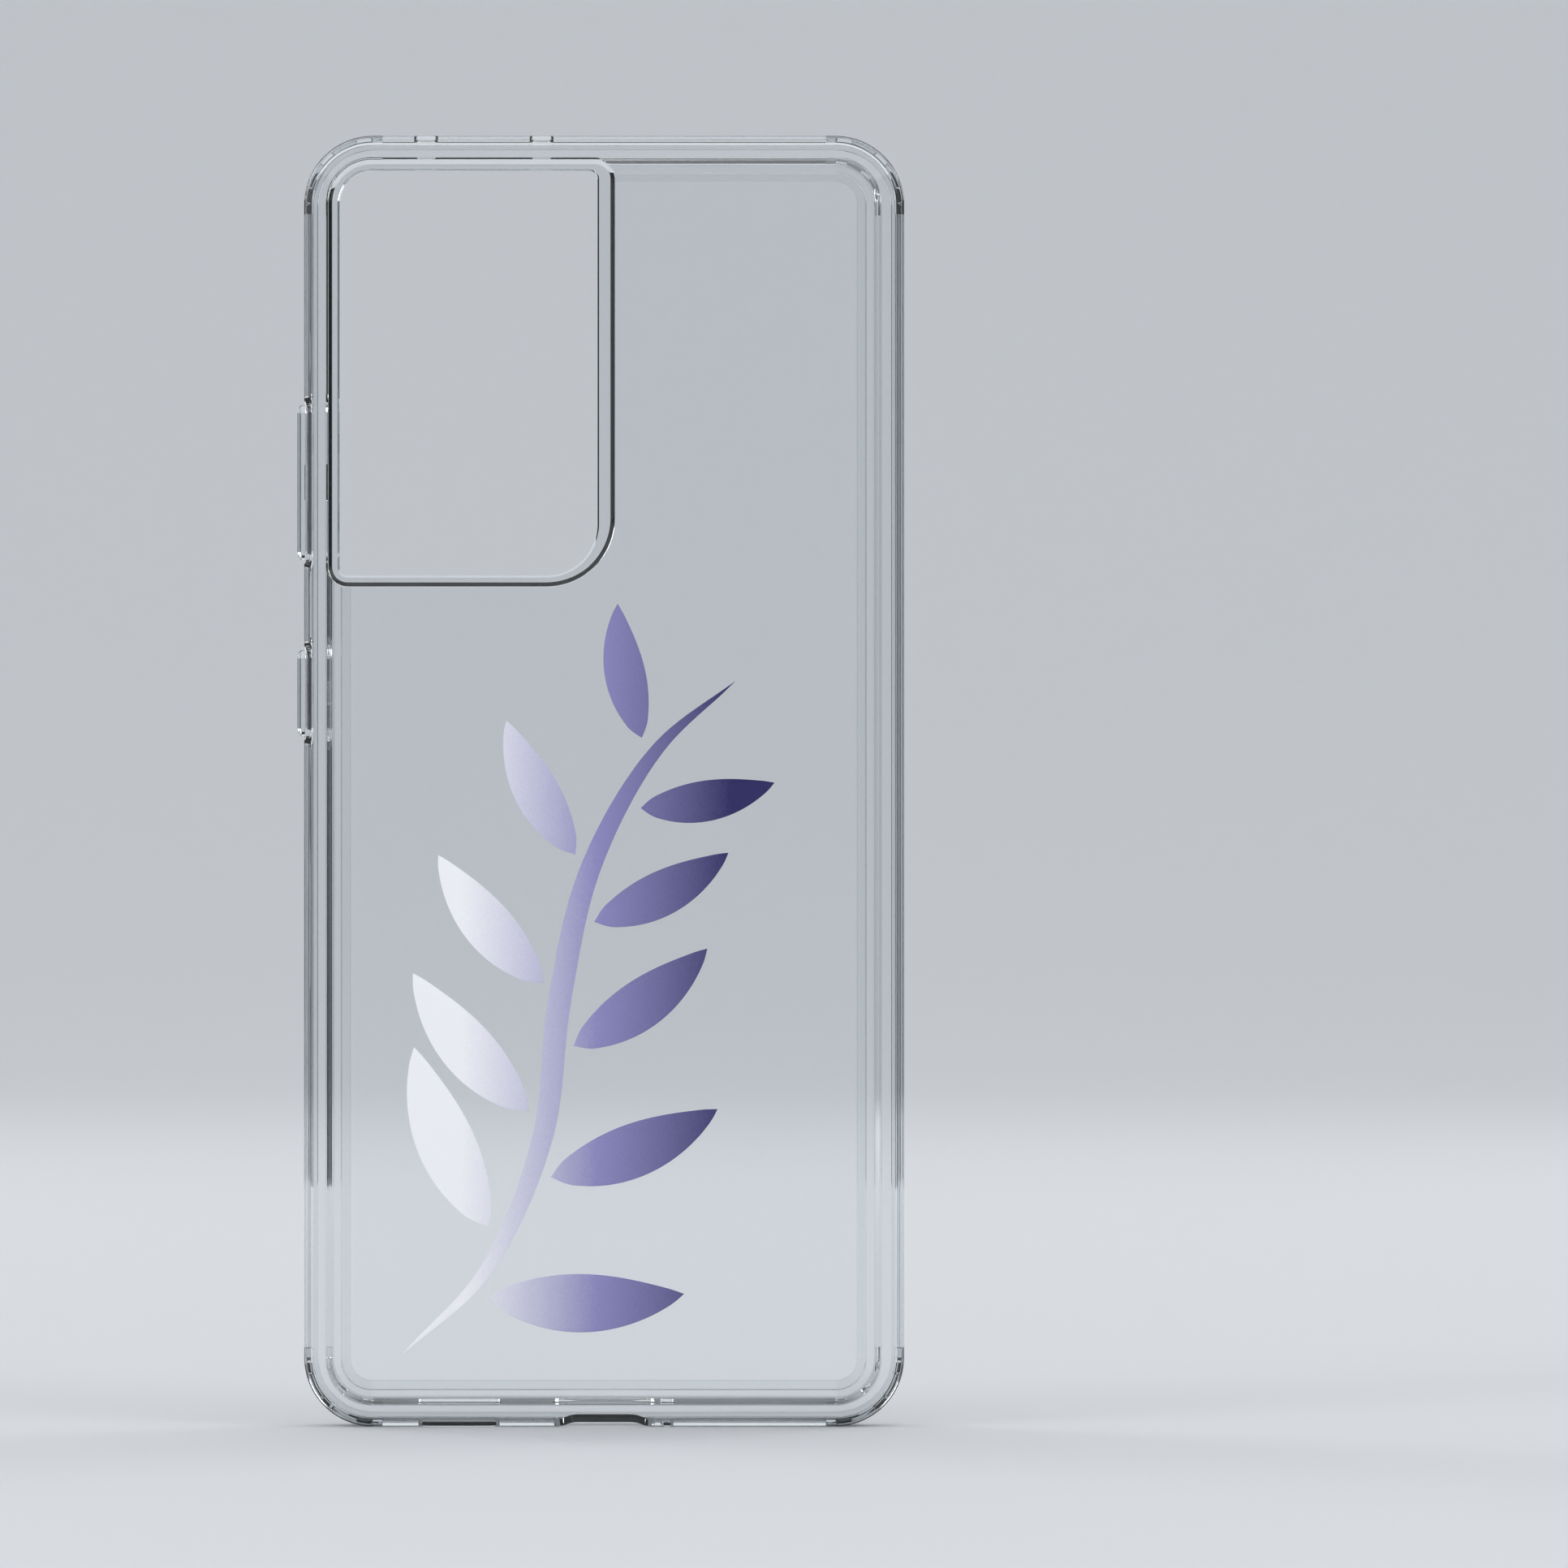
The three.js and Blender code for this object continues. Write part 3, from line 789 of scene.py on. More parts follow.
@dataclass
class CaseSizes:
    """Sizes that several sub-assemblies share, and the depths that follow from them."""

    width: float = 78.4
    length: float = 168.6
    corner: float = 9.0
    middle_x: float = -0.475
    phone_depth: float = 8.9
    wall: float = 1.4
    back: float = 1.2
    lap_thickness: float = 0.6
    lap_width: float = 1.2
    panel_inset: float = 5.0
    lip_height: float = 0.55
    end_lip_rise: float = 1.3
    bezel_rise: float = 0.95
    band_depth: float = 5.05
    back_chamfer_depth: float = 3.65
    back_edge: float = 0.3
    cavity_edge_depth: float = 2.9
    fit: float = 0.05

    @property
    def rim_top(self) -> float:
        """Depth of the camera rim's top, half the overall depth from the middle."""
        return (self.bezel_rise + self.back + self.phone_depth + self.lip_height + self.end_lip_rise) / 2

    @property
    def back_face(self) -> float:
        """Depth of the printed face."""
        return self.rim_top - self.bezel_rise

    @property
    def lap_face(self) -> float:
        """Depth of the step that the panel is lapped on."""
        return self.back_face - self.lap_thickness

    @property
    def cavity_back(self) -> float:
        """Depth of the face that the phone lies against."""
        return self.back_face - self.back

    @property
    def cavity_side(self) -> float:
        """Depth where the inside's sloping edge meets the side wall."""
        return self.cavity_back - self.cavity_edge_depth

    @property
    def band_back(self) -> float:
        """Depth of the side band's back edge."""
        return self.back_face - self.back_edge - self.back_chamfer_depth

    @property
    def band_front(self) -> float:
        """Depth of the side band's front edge."""
        return self.band_back - self.band_depth

    @property
    def band_middle(self) -> float:
        """Depth of the middle line of the side band."""
        return (self.band_back + self.band_front) / 2

    @property
    def lip_underside(self) -> float:
        """Depth of the face of the lip that holds the phone in."""
        return self.cavity_back - self.phone_depth

    @property
    def lip_top(self) -> float:
        """Depth of the lip's front along the long sides."""
        return self.lip_underside - self.lip_height

    @property
    def side_face(self) -> float:
        """X of the outer face of the button wall."""
        return self.middle_x + self.width / 2

    @property
    def inner_face(self) -> float:
        """X of the inner face of the button wall."""
        return self.side_face - self.wall

    def outline(self) -> Outline:
        """The outer outline of the case body."""
        left = self.middle_x - self.width / 2
        return Outline(left, self.side_face, 0.0, self.length, (self.corner,) * 4)


@dataclass
class CameraBezel:
    """Raised rim round the camera window."""

    sizes: CaseSizes
    edge_inset: float = 3.3
    window_width: float = 33.6
    window_length: float = 52.7
    inner_corner: float = 6.7
    tight_corner: float = 1.1
    rim_width: float = 1.5
    inner_side_width: float = 2.3
    flank_run: float = 0.6
    foot_height: float = 0.06
    foot_radius: float = 0.12
    inner_bevel: float = 0.25
    edge_radius: float = 0.16

    def inner(self) -> Outline:
        """Outline of the window.

        Returns:
            The outline, which keeps an even distance from the case's edge on two sides.
        """
        inset = self.edge_inset + self.rim_width
        right, top = self.sizes.side_face - inset, self.sizes.length - inset
        return Outline(
            right - self.window_width,
            right,
            top - self.window_length,
            top,
            (self.tight_corner, self.sizes.corner - inset, self.tight_corner, self.inner_corner),
        )

    def outer(self, grow: float = 0.0) -> Outline:
        """Outer outline of the rim.

        Args:
            grow: How far it is grown outwards.

        Returns:
            The outline.
        """
        window = self.inner()
        rim, side = self.rim_width + grow, self.inner_side_width + grow
        widths = (rim, rim, rim, side)
        return Outline(
            window.left - side,
            window.right + rim,
            window.bottom - rim,
            window.top + rim,
            tuple(radius + width for radius, width in zip(window.radii, widths)),
        )

    def room(self, floor: float) -> bpy.types.Object:
        """The space that the rim takes out of its neighbours, from a depth outwards."""
        section = [Corner(0, floor), Corner(0, self.sizes.rim_top + OVERRUN)]
        return solid("bezel_room", self.outer(self.sizes.fit), section)

    def build(self, finishes: Finishes) -> bpy.types.Object:
        """Sweeps the outer and inner flanks and bridges them over the top and underneath.

        Args:
            finishes: The finishes.

        Returns:
            The finished piece.
        """
        base, top = self.sizes.cavity_back, self.sizes.rim_top
        overlap = 2 * self.edge_radius
        outer_flank = [
            Corner(0, base),
            Corner(0, self.sizes.back_face + self.foot_height, self.foot_radius),
            Corner(self.flank_run, top, self.edge_radius),
            Corner(self.flank_run + overlap, top),
        ]
        inner_flank = [
            Corner(-self.inner_bevel - overlap, top),
            Corner(-self.inner_bevel, top, self.edge_radius / 2),
            Corner(0, top - self.inner_bevel, self.edge_radius / 2),
            Corner(0, base),
        ]
        bm = bmesh.new()
        sweep(bm, self.outer(), outer_flank)
        sweep(bm, self.inner(), inner_flank)
        bmesh.ops.recalc_face_normals(bm, faces=bm.faces)
        for height in (top, base):
            rims = [
                e
                for e in bm.edges
                if e.is_boundary and all(abs(v.co.y - mm(height)) < mm(0.01) for v in e.verts)
            ]
            bmesh.ops.bridge_loops(bm, edges=rims)
        cap_and_orient(bm)
        rim = new_object("camera_bezel_rim", bm)
        shade(rim)
        return dress(rim, finishes.soft, Slot.SOFT_CLEAR, ["camera_bezel"], Body.SHELL)


@dataclass
class SideButton:
    """A pill-shaped bar on the button wall, its window and the skirt that carries it.

    pad_shares are the places of the pads inside it, as shares of its length from its middle.
    """

    sizes: CaseSizes
    name: str
    body: Body
    height: float
    length: float
    bridge: float
    pad_shares: tuple[float, ...]
    half_width: float = 1.22
    rise: float = 0.95
    bar_radii: tuple[float, float, float] = (0.14, 0.2, 0.1)
    crown_inset: float = 0.66
    crown_drop: float = 0.5
    crown_share: float = 0.62
    crown_fall: float = 0.1
    crown_flat: float = 0.12
    pad_half_width: float = 0.75
    pad_length: float = 3.0
    pad_height: float = 0.35
    pad_corner: float = 0.3
    pad_taper: float = 0.12
    pad_edge: float = 0.1
    window_margin: float = 1.08
    window_bevel: float = 0.6
    window_radii: tuple[float, float] = (0.12, 0.14)
    window_flare: float = 0.35
    slit_margin: float = 0.67
    slit_corner: float = 0.12
    skirt_gap: float = 0.03
    skirt_thickness: float = 0.35
    skirt_radii: tuple[float, float] = (0.1, 0.08)
    collar: float = 0.3

    def outline(self, margin: float = 0.0) -> Outline:
        """Pill outline that keeps an even margin round the bar."""
        half = (self.half_width + margin, self.length / 2 + margin)
        return Outline.centred(BUTTON_WALL, (self.sizes.band_middle, self.height), half, half[0])

    def window(self) -> bpy.types.Object:
        """The opening in the side wall: straight inside, flared and rounded outside.

        Returns:
            The tool that cuts it.
        """
        face, bevel = self.sizes.side_face, self.window_bevel
        flare = -bevel - self.window_flare
        section = [
            Corner(0, self.sizes.inner_face - OVERRUN),
            Corner(0, face - bevel, self.window_radii[0]),
            Corner(-bevel, face + 0.004, self.window_radii[1]),
            Corner(flare, face + 0.01),
            Corner(flare, face + OVERRUN),
        ]
        return solid("window", self.outline(self.window_margin), section, PILL_STEPS)

    def build_bar(self, finishes: Finishes) -> bpy.types.Object:
        """The bar with a crowned top, joined to the small pads that press the phone's keys.

        Args:
            finishes: The finishes.

        Returns:
            The finished piece.
        """
        top = self.sizes.side_face + self.rise
        inside = self.sizes.inner_face
        base = inside + self.pad_height
        crown = [
            Corner(0, base),
            Corner(0, top - self.crown_drop, self.bar_radii[0]),
            Corner(self.crown_inset * self.crown_share, top - self.crown_fall, self.bar_radii[1]),
            Corner(self.crown_inset, top, self.bar_radii[2]),
            Corner(self.crown_inset + self.crown_flat, top),
        ]
        bar = solid(f"{self.name}_bar", self.outline(), crown, PILL_STEPS)
        pad_section = [
            Corner(self.pad_taper, inside),
            Corner(0, inside, self.pad_edge),
            Corner(0, base + self.pad_corner),
        ]
        half = (self.pad_half_width, self.pad_length / 2)
        pads = []
        for share in self.pad_shares:
            middle = (self.sizes.band_middle, self.height + share * self.length)
            pad = Outline.centred(BUTTON_WALL, middle, half, self.pad_corner)
            pads.append(solid("pad", pad, pad_section, SMALL_STEPS))
        boolean(bar, pads, Cut.TOGETHER)
        shade(bar)
        return dress(bar, finishes.soft, Slot.SOFT_CLEAR, [self.name], self.body)

    def slit_tools(self) -> list[bpy.types.Object]:
        """The open slit on the back half of the skirt, in two lengths where it is bridged.

        Returns:
            The tools that cut it.
        """
        whole = self.outline(self.slit_margin)
        wide, tight = whole.radii[0], self.slit_corner
        if self.bridge:
            lengths = [
                (whole.bottom, self.height - self.bridge / 2, (wide, tight, tight, tight)),
                (self.height + self.bridge / 2, whole.top, (tight, wide, tight, tight)),
            ]
        else:
            lengths = [(whole.bottom, whole.top, (wide, wide, tight, tight))]
        left = self.sizes.band_middle - tight
        section = [
            Corner(0, self.sizes.inner_face - OVERRUN),
            Corner(0, self.sizes.side_face + OVERRUN),
        ]
        return [
            solid("slit", Outline(left, whole.right, *ends, radii, BUTTON_WALL), section, PILL_STEPS)
            for *ends, radii in lengths
        ]

    def build_skirt(self, finishes: Finishes) -> bpy.types.Object:
        """The flexible skirt from the window's edge up to the bar.

        Args:
            finishes: The finishes.

        Returns:
            The finished piece.
        """
        lip = self.sizes.side_face
        foot = self.sizes.inner_face + self.sizes.fit
        shoulder = lip - self.window_bevel
        rim = -self.window_margin + self.sizes.fit
        bend, edge = self.skirt_radii
        section = [
            Corner(rim, foot),
            Corner(rim, shoulder, bend),
            Corner(-self.skirt_gap, lip, edge),
            Corner(-self.skirt_gap, lip - self.skirt_thickness),
            Corner(rim + self.collar, shoulder - self.skirt_thickness, bend),
            Corner(rim + self.collar, foot),
        ]
        pill = self.outline()
        skirt = solid(f"{self.name}_skirt", pill, section, PILL_STEPS, closed=True)
        boolean(skirt, self.slit_tools(), Cut.AWAY)
        shade(skirt)
        dress(skirt, finishes.soft, Slot.SOFT_CLEAR, [f"{self.name}_web"], None)
        start, end = (pill.at(self.sizes.band_middle, self.height, x) for x in (shoulder, lip))
        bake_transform(skirt)
        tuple(start)
        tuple(end)
        return skirt


@dataclass
class CornerCushion:
    """Strip of wall round one corner with three air cells in it."""

    sizes: CaseSizes
    name: str
    corner: int
    skin: float = 0.5
    tail: float = 1.2
    margin: float = 0.15
    edge_radius: float = 0.12
    arc_steps: int = 18
    cell_width: float = 2.1
    cell_depth: float = 3.5
    cell_corner: float = 0.32
    cell_angles: tuple[float, float, float] = (8.0, 45.0, 82.0)

    def arc_frame(self) -> tuple[Vector, Vector]:
        """Centre of this corner's arc and the outward direction where the arc starts."""
        outline = self.sizes.outline()
        return outline.centres()[self.corner], outline.normals()[self.corner - 1]

    def strip(self, name: str, outer: float, inner: float, grow: float) -> bpy.types.Object:
        """Sweeps a strip between two insets round the corner, with straight tails.

        Args:
            name: The object's name.
            outer: Inset of its outer face.
            inner: Inset of its inner face.
            grow: How far its edges and tails are grown.

        Returns:
            The strip.
        """
        centre, normal = self.arc_frame()
        outline = self.sizes.outline()
        along = outline.axis().cross(normal)
        tail = mm(self.tail + grow)
        front = self.sizes.band_front + self.margin - grow
        back = self.sizes.band_back - self.margin + grow
        bm = bmesh.new()
        verts = [
            bm.verts.new(
                centre + normal * mm(self.sizes.corner - inset) - along * tail + AXIS_Y * mm(depth)
            )
            for inset, depth in ((outer, front), (outer, back), (inner, back), (inner, front))
        ]
        for index in range(4):
            bm.edges.new((verts[index], verts[(index + 1) % 4]))
        round_corners(bm, verts[:2], mm(self.edge_radius), segments=3)
        ring = run(bm, list(bm.verts) + list(bm.edges), along * tail)
        ring = turn(bm, ring, outline, centre, self.arc_steps)
        run(bm, ring, normal * -tail)
        cap_and_orient(bm)
        return new_object(name, bm)

    def room(self) -> bpy.types.Object:
        """The pocket that the cushion sits in, open to the inside of the case."""
        return self.strip("pocket", self.skin, self.sizes.wall + OVERRUN, self.sizes.fit)

    def cells(self) -> list[bpy.types.Object]:
        """Cuts for the three air cells, rounded at their corners.

        Returns:
            The tools that cut them, which reach from inside the case to past its outer face.
        """
        centre, normal = self.arc_frame()
        inside = self.sizes.corner - self.sizes.wall - OVERRUN
        section = [Corner(0, inside), Corner(0, self.sizes.corner + OVERRUN / 2)]
        half = (self.cell_width / 2, self.cell_depth / 2)
        tools = []
        for degrees in self.cell_angles:
            out = Matrix.Rotation(math.radians(degrees), 3, self.sizes.outline().axis()) @ normal
            plane = Plane(AXIS_Y.cross(out), AXIS_Y, out)
            cell = Outline.centred(plane, (0, self.sizes.band_middle), half, self.cell_corner)
            tool = solid("cell", cell, section, SMALL_STEPS)
            tool.data.transform(Matrix.Translation(centre))
            tools.append(tool)
        return tools

    def build(self, finishes: Finishes) -> bpy.types.Object:
        """The strip with its cells cut through.

        Args:
            finishes: The finishes.

        Returns:
            The finished piece.
        """
        strip = self.strip(f"{self.name}_strip", self.skin + self.sizes.fit, self.sizes.wall, 0.0)
        boolean(strip, self.cells(), Cut.AWAY)
        shade(strip)
        return dress(strip, finishes.soft, Slot.SOFT_CLEAR, [self.name], Body.SHELL)


@dataclass
class EndHole:
    """A pill-shaped hole in an end wall, with a rounded outer rim."""

    sizes: CaseSizes
    end: End
    length: float
    width: float
    offset: float
    depth: float = 2.5
    rim_radius: float = 0.22
    rim_share: float = 1.3
    rim_height: float = 0.01
    arc_steps: int = 12

    def tool(self) -> bpy.types.Object:
        """The tool that cuts the hole.

        Returns:
            The tool, which starts outside the end wall.
        """
        middle = (self.sizes.middle_x + self.offset, self.sizes.band_middle)
        half = (self.length / 2, self.width / 2)
        way = self.end.value
        face = self.sizes.length if self.end is End.CAMERA else 0.0
        flare = self.rim_share * self.rim_radius
        section = [
            Corner(-flare, face - way * OVERRUN),
            Corner(-flare, face - way * self.rim_height),
            Corner(0, face - way * self.rim_height, self.rim_radius),
            Corner(0, face + way * self.depth),
        ]
        outline = Outline.centred(END_WALL, middle, half, half[1])
        return solid("end_hole", outline, section, self.arc_steps)


@dataclass
class BumperFrame:
    """The soft clear frame all round: wall, chamfered back edge, front lip and its openings."""

    sizes: CaseSizes
    bezel: CameraBezel
    buttons: Sequence[SideButton]
    cushions: Sequence[CornerCushion]
    holes: Sequence[EndHole]
    arc_steps: int = 28
    chamfer_inset: float = 3.0
    back_edge_inset: float = 0.5
    lip_overhang: float = 0.7
    front_slope: float = 0.45
    lip_blend_power: float = 1.3
    cavity_inset: float = 2.4
    band_round: float = 0.35
    chamfer_round: float = 0.25
    seam_round: float = 0.07
    mouth_round: float = 0.06
    cavity_round: float = 0.5
    shoulder_round: float = 0.6
    lip_rounds: tuple[float, float, float] = (0.12, 0.1, 0.18)
    lip_zone: float = 0.3

    @property
    def front_run(self) -> float:
        """How far the slope in front of the side band runs in."""
        return (self.sizes.band_front - self.sizes.lip_top) * self.front_slope

    def section(self) -> list[Corner]:
        """The section of the wall along the long sides, with every edge rounded.

        Returns:
            Its corners, from the band's back edge round by the back, the inside and the lip.
        """
        s = self.sizes
        lap = s.panel_inset + s.lap_width
        lip = s.wall + self.lip_overhang
        root, inner, crest = self.lip_rounds
        return [
            Corner(0, s.band_back, self.band_round),
            Corner(self.chamfer_inset, s.back_face - s.back_edge, self.chamfer_round),
            Corner(self.chamfer_inset + self.back_edge_inset, s.back_face, self.chamfer_round),
            Corner(s.panel_inset, s.back_face, self.seam_round),
            Corner(s.panel_inset, s.lap_face),
            Corner(lap, s.lap_face),
            Corner(lap, s.cavity_back, self.mouth_round),
            Corner(s.wall + self.cavity_inset, s.cavity_back, self.cavity_round),
            Corner(s.wall, s.cavity_side, self.shoulder_round),
            Corner(s.wall, s.lip_underside, root),
            Corner(lip, s.lip_underside, inner),
            Corner(lip, s.lip_top, crest),
            Corner(self.front_run, s.lip_top, crest),
            Corner(0, s.band_front, self.band_round),
        ]

    def end_share(self, point: Vector, outline: Outline) -> tuple[float, Vector]:
        """How much of the end lips' extra height is present at a point.

        Args:
            point: A point of the lip, in metres.
            outline: The outline of the case body.

        Returns:
            The share, from 0 on a long side to 1 on a short one, and the way inwards.
        """
        for index, centre in enumerate(outline.centres()):
            side = 1 if index in (0, 1) else -1
            end = 1 if index in (1, 2) else -1
            out_x = (point.x - centre.x) * side
            out_z = (point.z - centre.z) * end
            if out_z > -1e-7 and out_x > -1e-7:
                angle = math.atan2(max(out_z, 0.0), max(out_x, 1e-9)) / (math.pi / 2)
                inward = Vector((centre.x - point.x, 0, centre.z - point.z)).normalized()
                return angle**self.lip_blend_power, inward
        centre_z = mm(self.sizes.length / 2)
        if abs(point.z - centre_z) > mm(self.sizes.length / 2 - self.sizes.corner):
            return 1.0, Vector((0, 0, -1 if point.z > centre_z else 1))
        return 0.0, Vector((0, 0, 0))

    def raise_end_lips(self, bm: bmesh.types.BMesh) -> None:
        """Draws the lip further out across both short ends, easing in round the corners.

        Args:
            bm: The swept wall.
        """
        outline = self.sizes.outline()
        crest = mm(self.sizes.lip_top + self.lip_zone)
        ridge = mm(self.front_run + self.band_round)
        middle = mm(self.sizes.middle_x)
        half_width, half_length = mm(self.sizes.width / 2), mm(self.sizes.length / 2)
        corner = mm(self.sizes.corner)
        for vert in bm.verts:
            if vert.co.y > crest:
                continue
            share, inward = self.end_share(vert.co, outline)
            out_x = abs(vert.co.x - middle) - (half_width - corner)
            out_z = abs(vert.co.z - half_length) - (half_length - corner)
            in_corner = out_x > 0 and out_z > 0
            inset = corner - (math.hypot(out_x, out_z) if in_corner else max(out_x, out_z))
            lift = mm(self.sizes.end_lip_rise) * share
            vert.co.y -= lift
            if inset < ridge:
                vert.co += inward * lift * self.front_slope

    def build(self, finishes: Finishes) -> bpy.types.Object:
        """Sweeps the wall, raises the end lips and cuts every opening.

        Args:
            finishes: The finishes.

        Returns:
            The finished piece.
        """
        bm = bmesh.new()
        sweep(bm, self.sizes.outline(), self.section(), closed=True, steps=self.arc_steps)
        self.raise_end_lips(bm)
        cap_and_orient(bm)
        wall = new_object("bumper_frame_wall", bm)
        tools = [self.bezel.room(self.sizes.cavity_back - self.sizes.fit)]
        tools += [cushion.room() for cushion in self.cushions]
        tools += [hole.tool() for hole in self.holes]
        tools += [button.window() for button in self.buttons]
        boolean(wall, tools, Cut.AWAY)
        shade(wall)
        return dress(wall, finishes.soft, Slot.SOFT_CLEAR, ["bumper_frame"], Body.SHELL)


@dataclass
class BackPanel:
    """The hard clear plate that carries the print, lapped into the frame.

    Its step keeps a hair of air over the frame's, because two clear faces in one place go black.
    """

    sizes: CaseSizes
    bezel: CameraBezel
    edge_radius: float = 0.08
    air_gap: float = 0.03

    def build(self, finishes: Finishes) -> bpy.types.Object:
        """The plate with its lapped edge and the camera corner taken out.

        Args:
            finishes: The finishes.

        Returns:
            The finished piece.
        """
        s = self.sizes
        lap = s.panel_inset + s.lap_width + s.fit
        face = s.panel_inset + s.fit
        seat = s.lap_face + self.air_gap
        section = [
            Corner(lap, s.cavity_back),
            Corner(lap, seat),
            Corner(face, seat),
            Corner(face, s.back_face, self.edge_radius),
            Corner(face + 2 * self.edge_radius, s.back_face),
        ]
        plate = solid("back_panel_plate", s.outline(), section)
        boolean(plate, [self.bezel.room(s.cavity_back - OVERRUN)], Cut.AWAY)
        shade(plate)
        return dress(plate, finishes.hard, Slot.HARD_CLEAR, ["back_panel"], Body.SHELL)


@dataclass
class PrintedSprig:
    """The stem and the leaves, each its own film of cured ink with a soft edge."""

    sizes: CaseSizes
    pairs: int = 5
    thickness: float = 0.1
    air_gap: float = 0.006
    edge_radius: float = 0.03
    edge_steps: int = 2
    curve_steps: int = 5
    tip_degrees: float = 55.0

    def rim_of(self, node: str) -> list[Vector]:
        """Walks the outline of a CAD film's outer face.

        Args:
            node: The film's CAD node.

        Returns:
            The outline's points, in order.
        """
        bm = bmesh.new()
        bm.from_mesh(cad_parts[node].data)
        bmesh.ops.remove_doubles(bm, verts=bm.verts, dist=mm(0.001))
        top = mm(self.sizes.back_face + self.thickness / 2)
        edges = [
            e
            for e in bm.edges
            if all(v.co.y > top for v in e.verts)
            and sorted(all(v.co.y > top for v in f.verts) for f in e.link_faces) == [False, True]
        ]
        follow = {}
        for edge in edges:
            for vert, other in (edge.verts, reversed(edge.verts)):
                follow.setdefault(vert, []).append(other)
        start = min(follow, key=lambda v: (v.co.z, v.co.x))
        walk, before = [start], None
        while True:
            ahead = [v for v in follow[walk[-1]] if v is not before]
            before = walk[-1]
            if ahead[0] is start or len(walk) > len(follow):
                break
            walk.append(ahead[0])
        points = [v.co.copy() for v in walk]
        bm.free()
        return points

    def draw_curve(self, name: str, rim: Sequence[Vector]) -> bpy.types.Object:
        """Draws a filled, thickened curve through the rim's points, pointed at its tips.

        Args:
            name: The object's name.
            rim: The points.

        Returns:
            The curve object.
        """
        curve = bpy.data.curves.new(name, "CURVE")
        curve.dimensions = "2D"
        curve.fill_mode = "BOTH"
        curve.resolution_u = self.curve_steps
        curve.bevel_depth = mm(self.edge_radius)
        curve.bevel_resolution = self.edge_steps
        curve.extrude = mm((self.thickness - self.air_gap) / 2 - self.edge_radius)
        curve.offset = -mm(self.edge_radius)
        spline = curve.splines.new("BEZIER")
        spline.bezier_points.add(len(rim) - 1)
        spline.use_cyclic_u = True
        for index, (knot, point) in enumerate(zip(spline.bezier_points, rim)):
            before = (point - rim[index - 1]).normalized()
            after = (rim[(index + 1) % len(rim)] - point).normalized()
            knot.co = (point.x, point.z, 0)
            is_tip = before.angle(after) > math.radians(self.tip_degrees)
            knot.handle_left_type = knot.handle_right_type = "VECTOR" if is_tip else "AUTO"
        flat = bpy.data.objects.new(name, curve)
        bpy.context.scene.collection.objects.link(flat)
        return flat

    def film(self, name: str, rim: Sequence[Vector]) -> bpy.types.Object:
        """Turns a drawn film into a mesh that stands a hair clear of the printed face.

        Args:
            name: The piece's name.
            rim: The points that its outline passes through.

        Returns:
            The film.
        """
        flat = self.draw_curve(name, rim)
        curve = flat.data
        graph = bpy.context.evaluated_depsgraph_get()
        mesh = bpy.data.meshes.new_from_object(flat.evaluated_get(graph))
        bpy.data.objects.remove(flat)
        bpy.data.curves.remove(curve)
        bm = bmesh.new()
        bm.from_mesh(mesh)
        bpy.data.meshes.remove(mesh)
        middle = self.sizes.back_face + (self.thickness + self.air_gap) / 2
        upright = Matrix.Translation(AXIS_Y * mm(middle)) @ Matrix.Rotation(math.pi / 2, 4, "X")
        bmesh.ops.transform(bm, matrix=upright, verts=bm.verts)
        bmesh.ops.remove_doubles(bm, verts=bm.verts, dist=mm(0.0005))
        bmesh.ops.recalc_face_normals(bm, faces=bm.faces)
        return new_object(name, bm)

    def build(self, finishes: Finishes) -> list[bpy.types.Object]:
        """Builds every film of the sprig.

        Args:
            finishes: The finishes.

        Returns:
            The finished pieces.
        """
        slots = {"print_stem": Slot.INK_LAVENDER}
        for pair in range(1, self.pairs + 1):
            slots[f"print_leaf_plain_side_{pair}"] = Slot.INK_INDIGO
            slots[f"print_leaf_button_side_{pair}"] = Slot.INK_WHITE
        films = []
        for node, slot in slots.items():
            film = self.film(f"{node}_film", self.rim_of(node))
            shade(film)
            films.append(dress(film, finishes.ink, slot, [node], Body.SHELL))
        return films


# ---- Studio, in metres ----


@dataclass(frozen=True)
class Cards:
    """Matching lights or flags that stand round the case and face it."""

    name: str
    azimuths: tuple[int, ...]
    height: float
    distance: float
    size: tuple[float, float]

    def places(self) -> dict[str, Vector]:
        """Where each one stands, by its name. Azimuth 0 is in front of the screen side."""
        return {
            f"{self.name}_{azimuth}": Vector(
                (
                    math.sin(math.radians(azimuth)) * self.distance,
                    -math.cos(math.radians(azimuth)) * self.distance,
                    self.height,
                )
            )
            for azimuth in self.azimuths
        }


SOFTBOXES = Cards("softbox", (47, 133, 227, 313), 0.6, 1.5, (0.6, 0.6))
FLAGS = (
    Cards("side_flag", (29, 151, 209, 331), 0.3, 0.9, (0.36, 0.62)),
    Cards("edge_flag", (63, 117, 243, 297), 0.3, 0.9, (0.16, 0.62)),
    Cards("top_flag", (0, 180), 0.64, 0.9, (0.9, 0.36)),
)


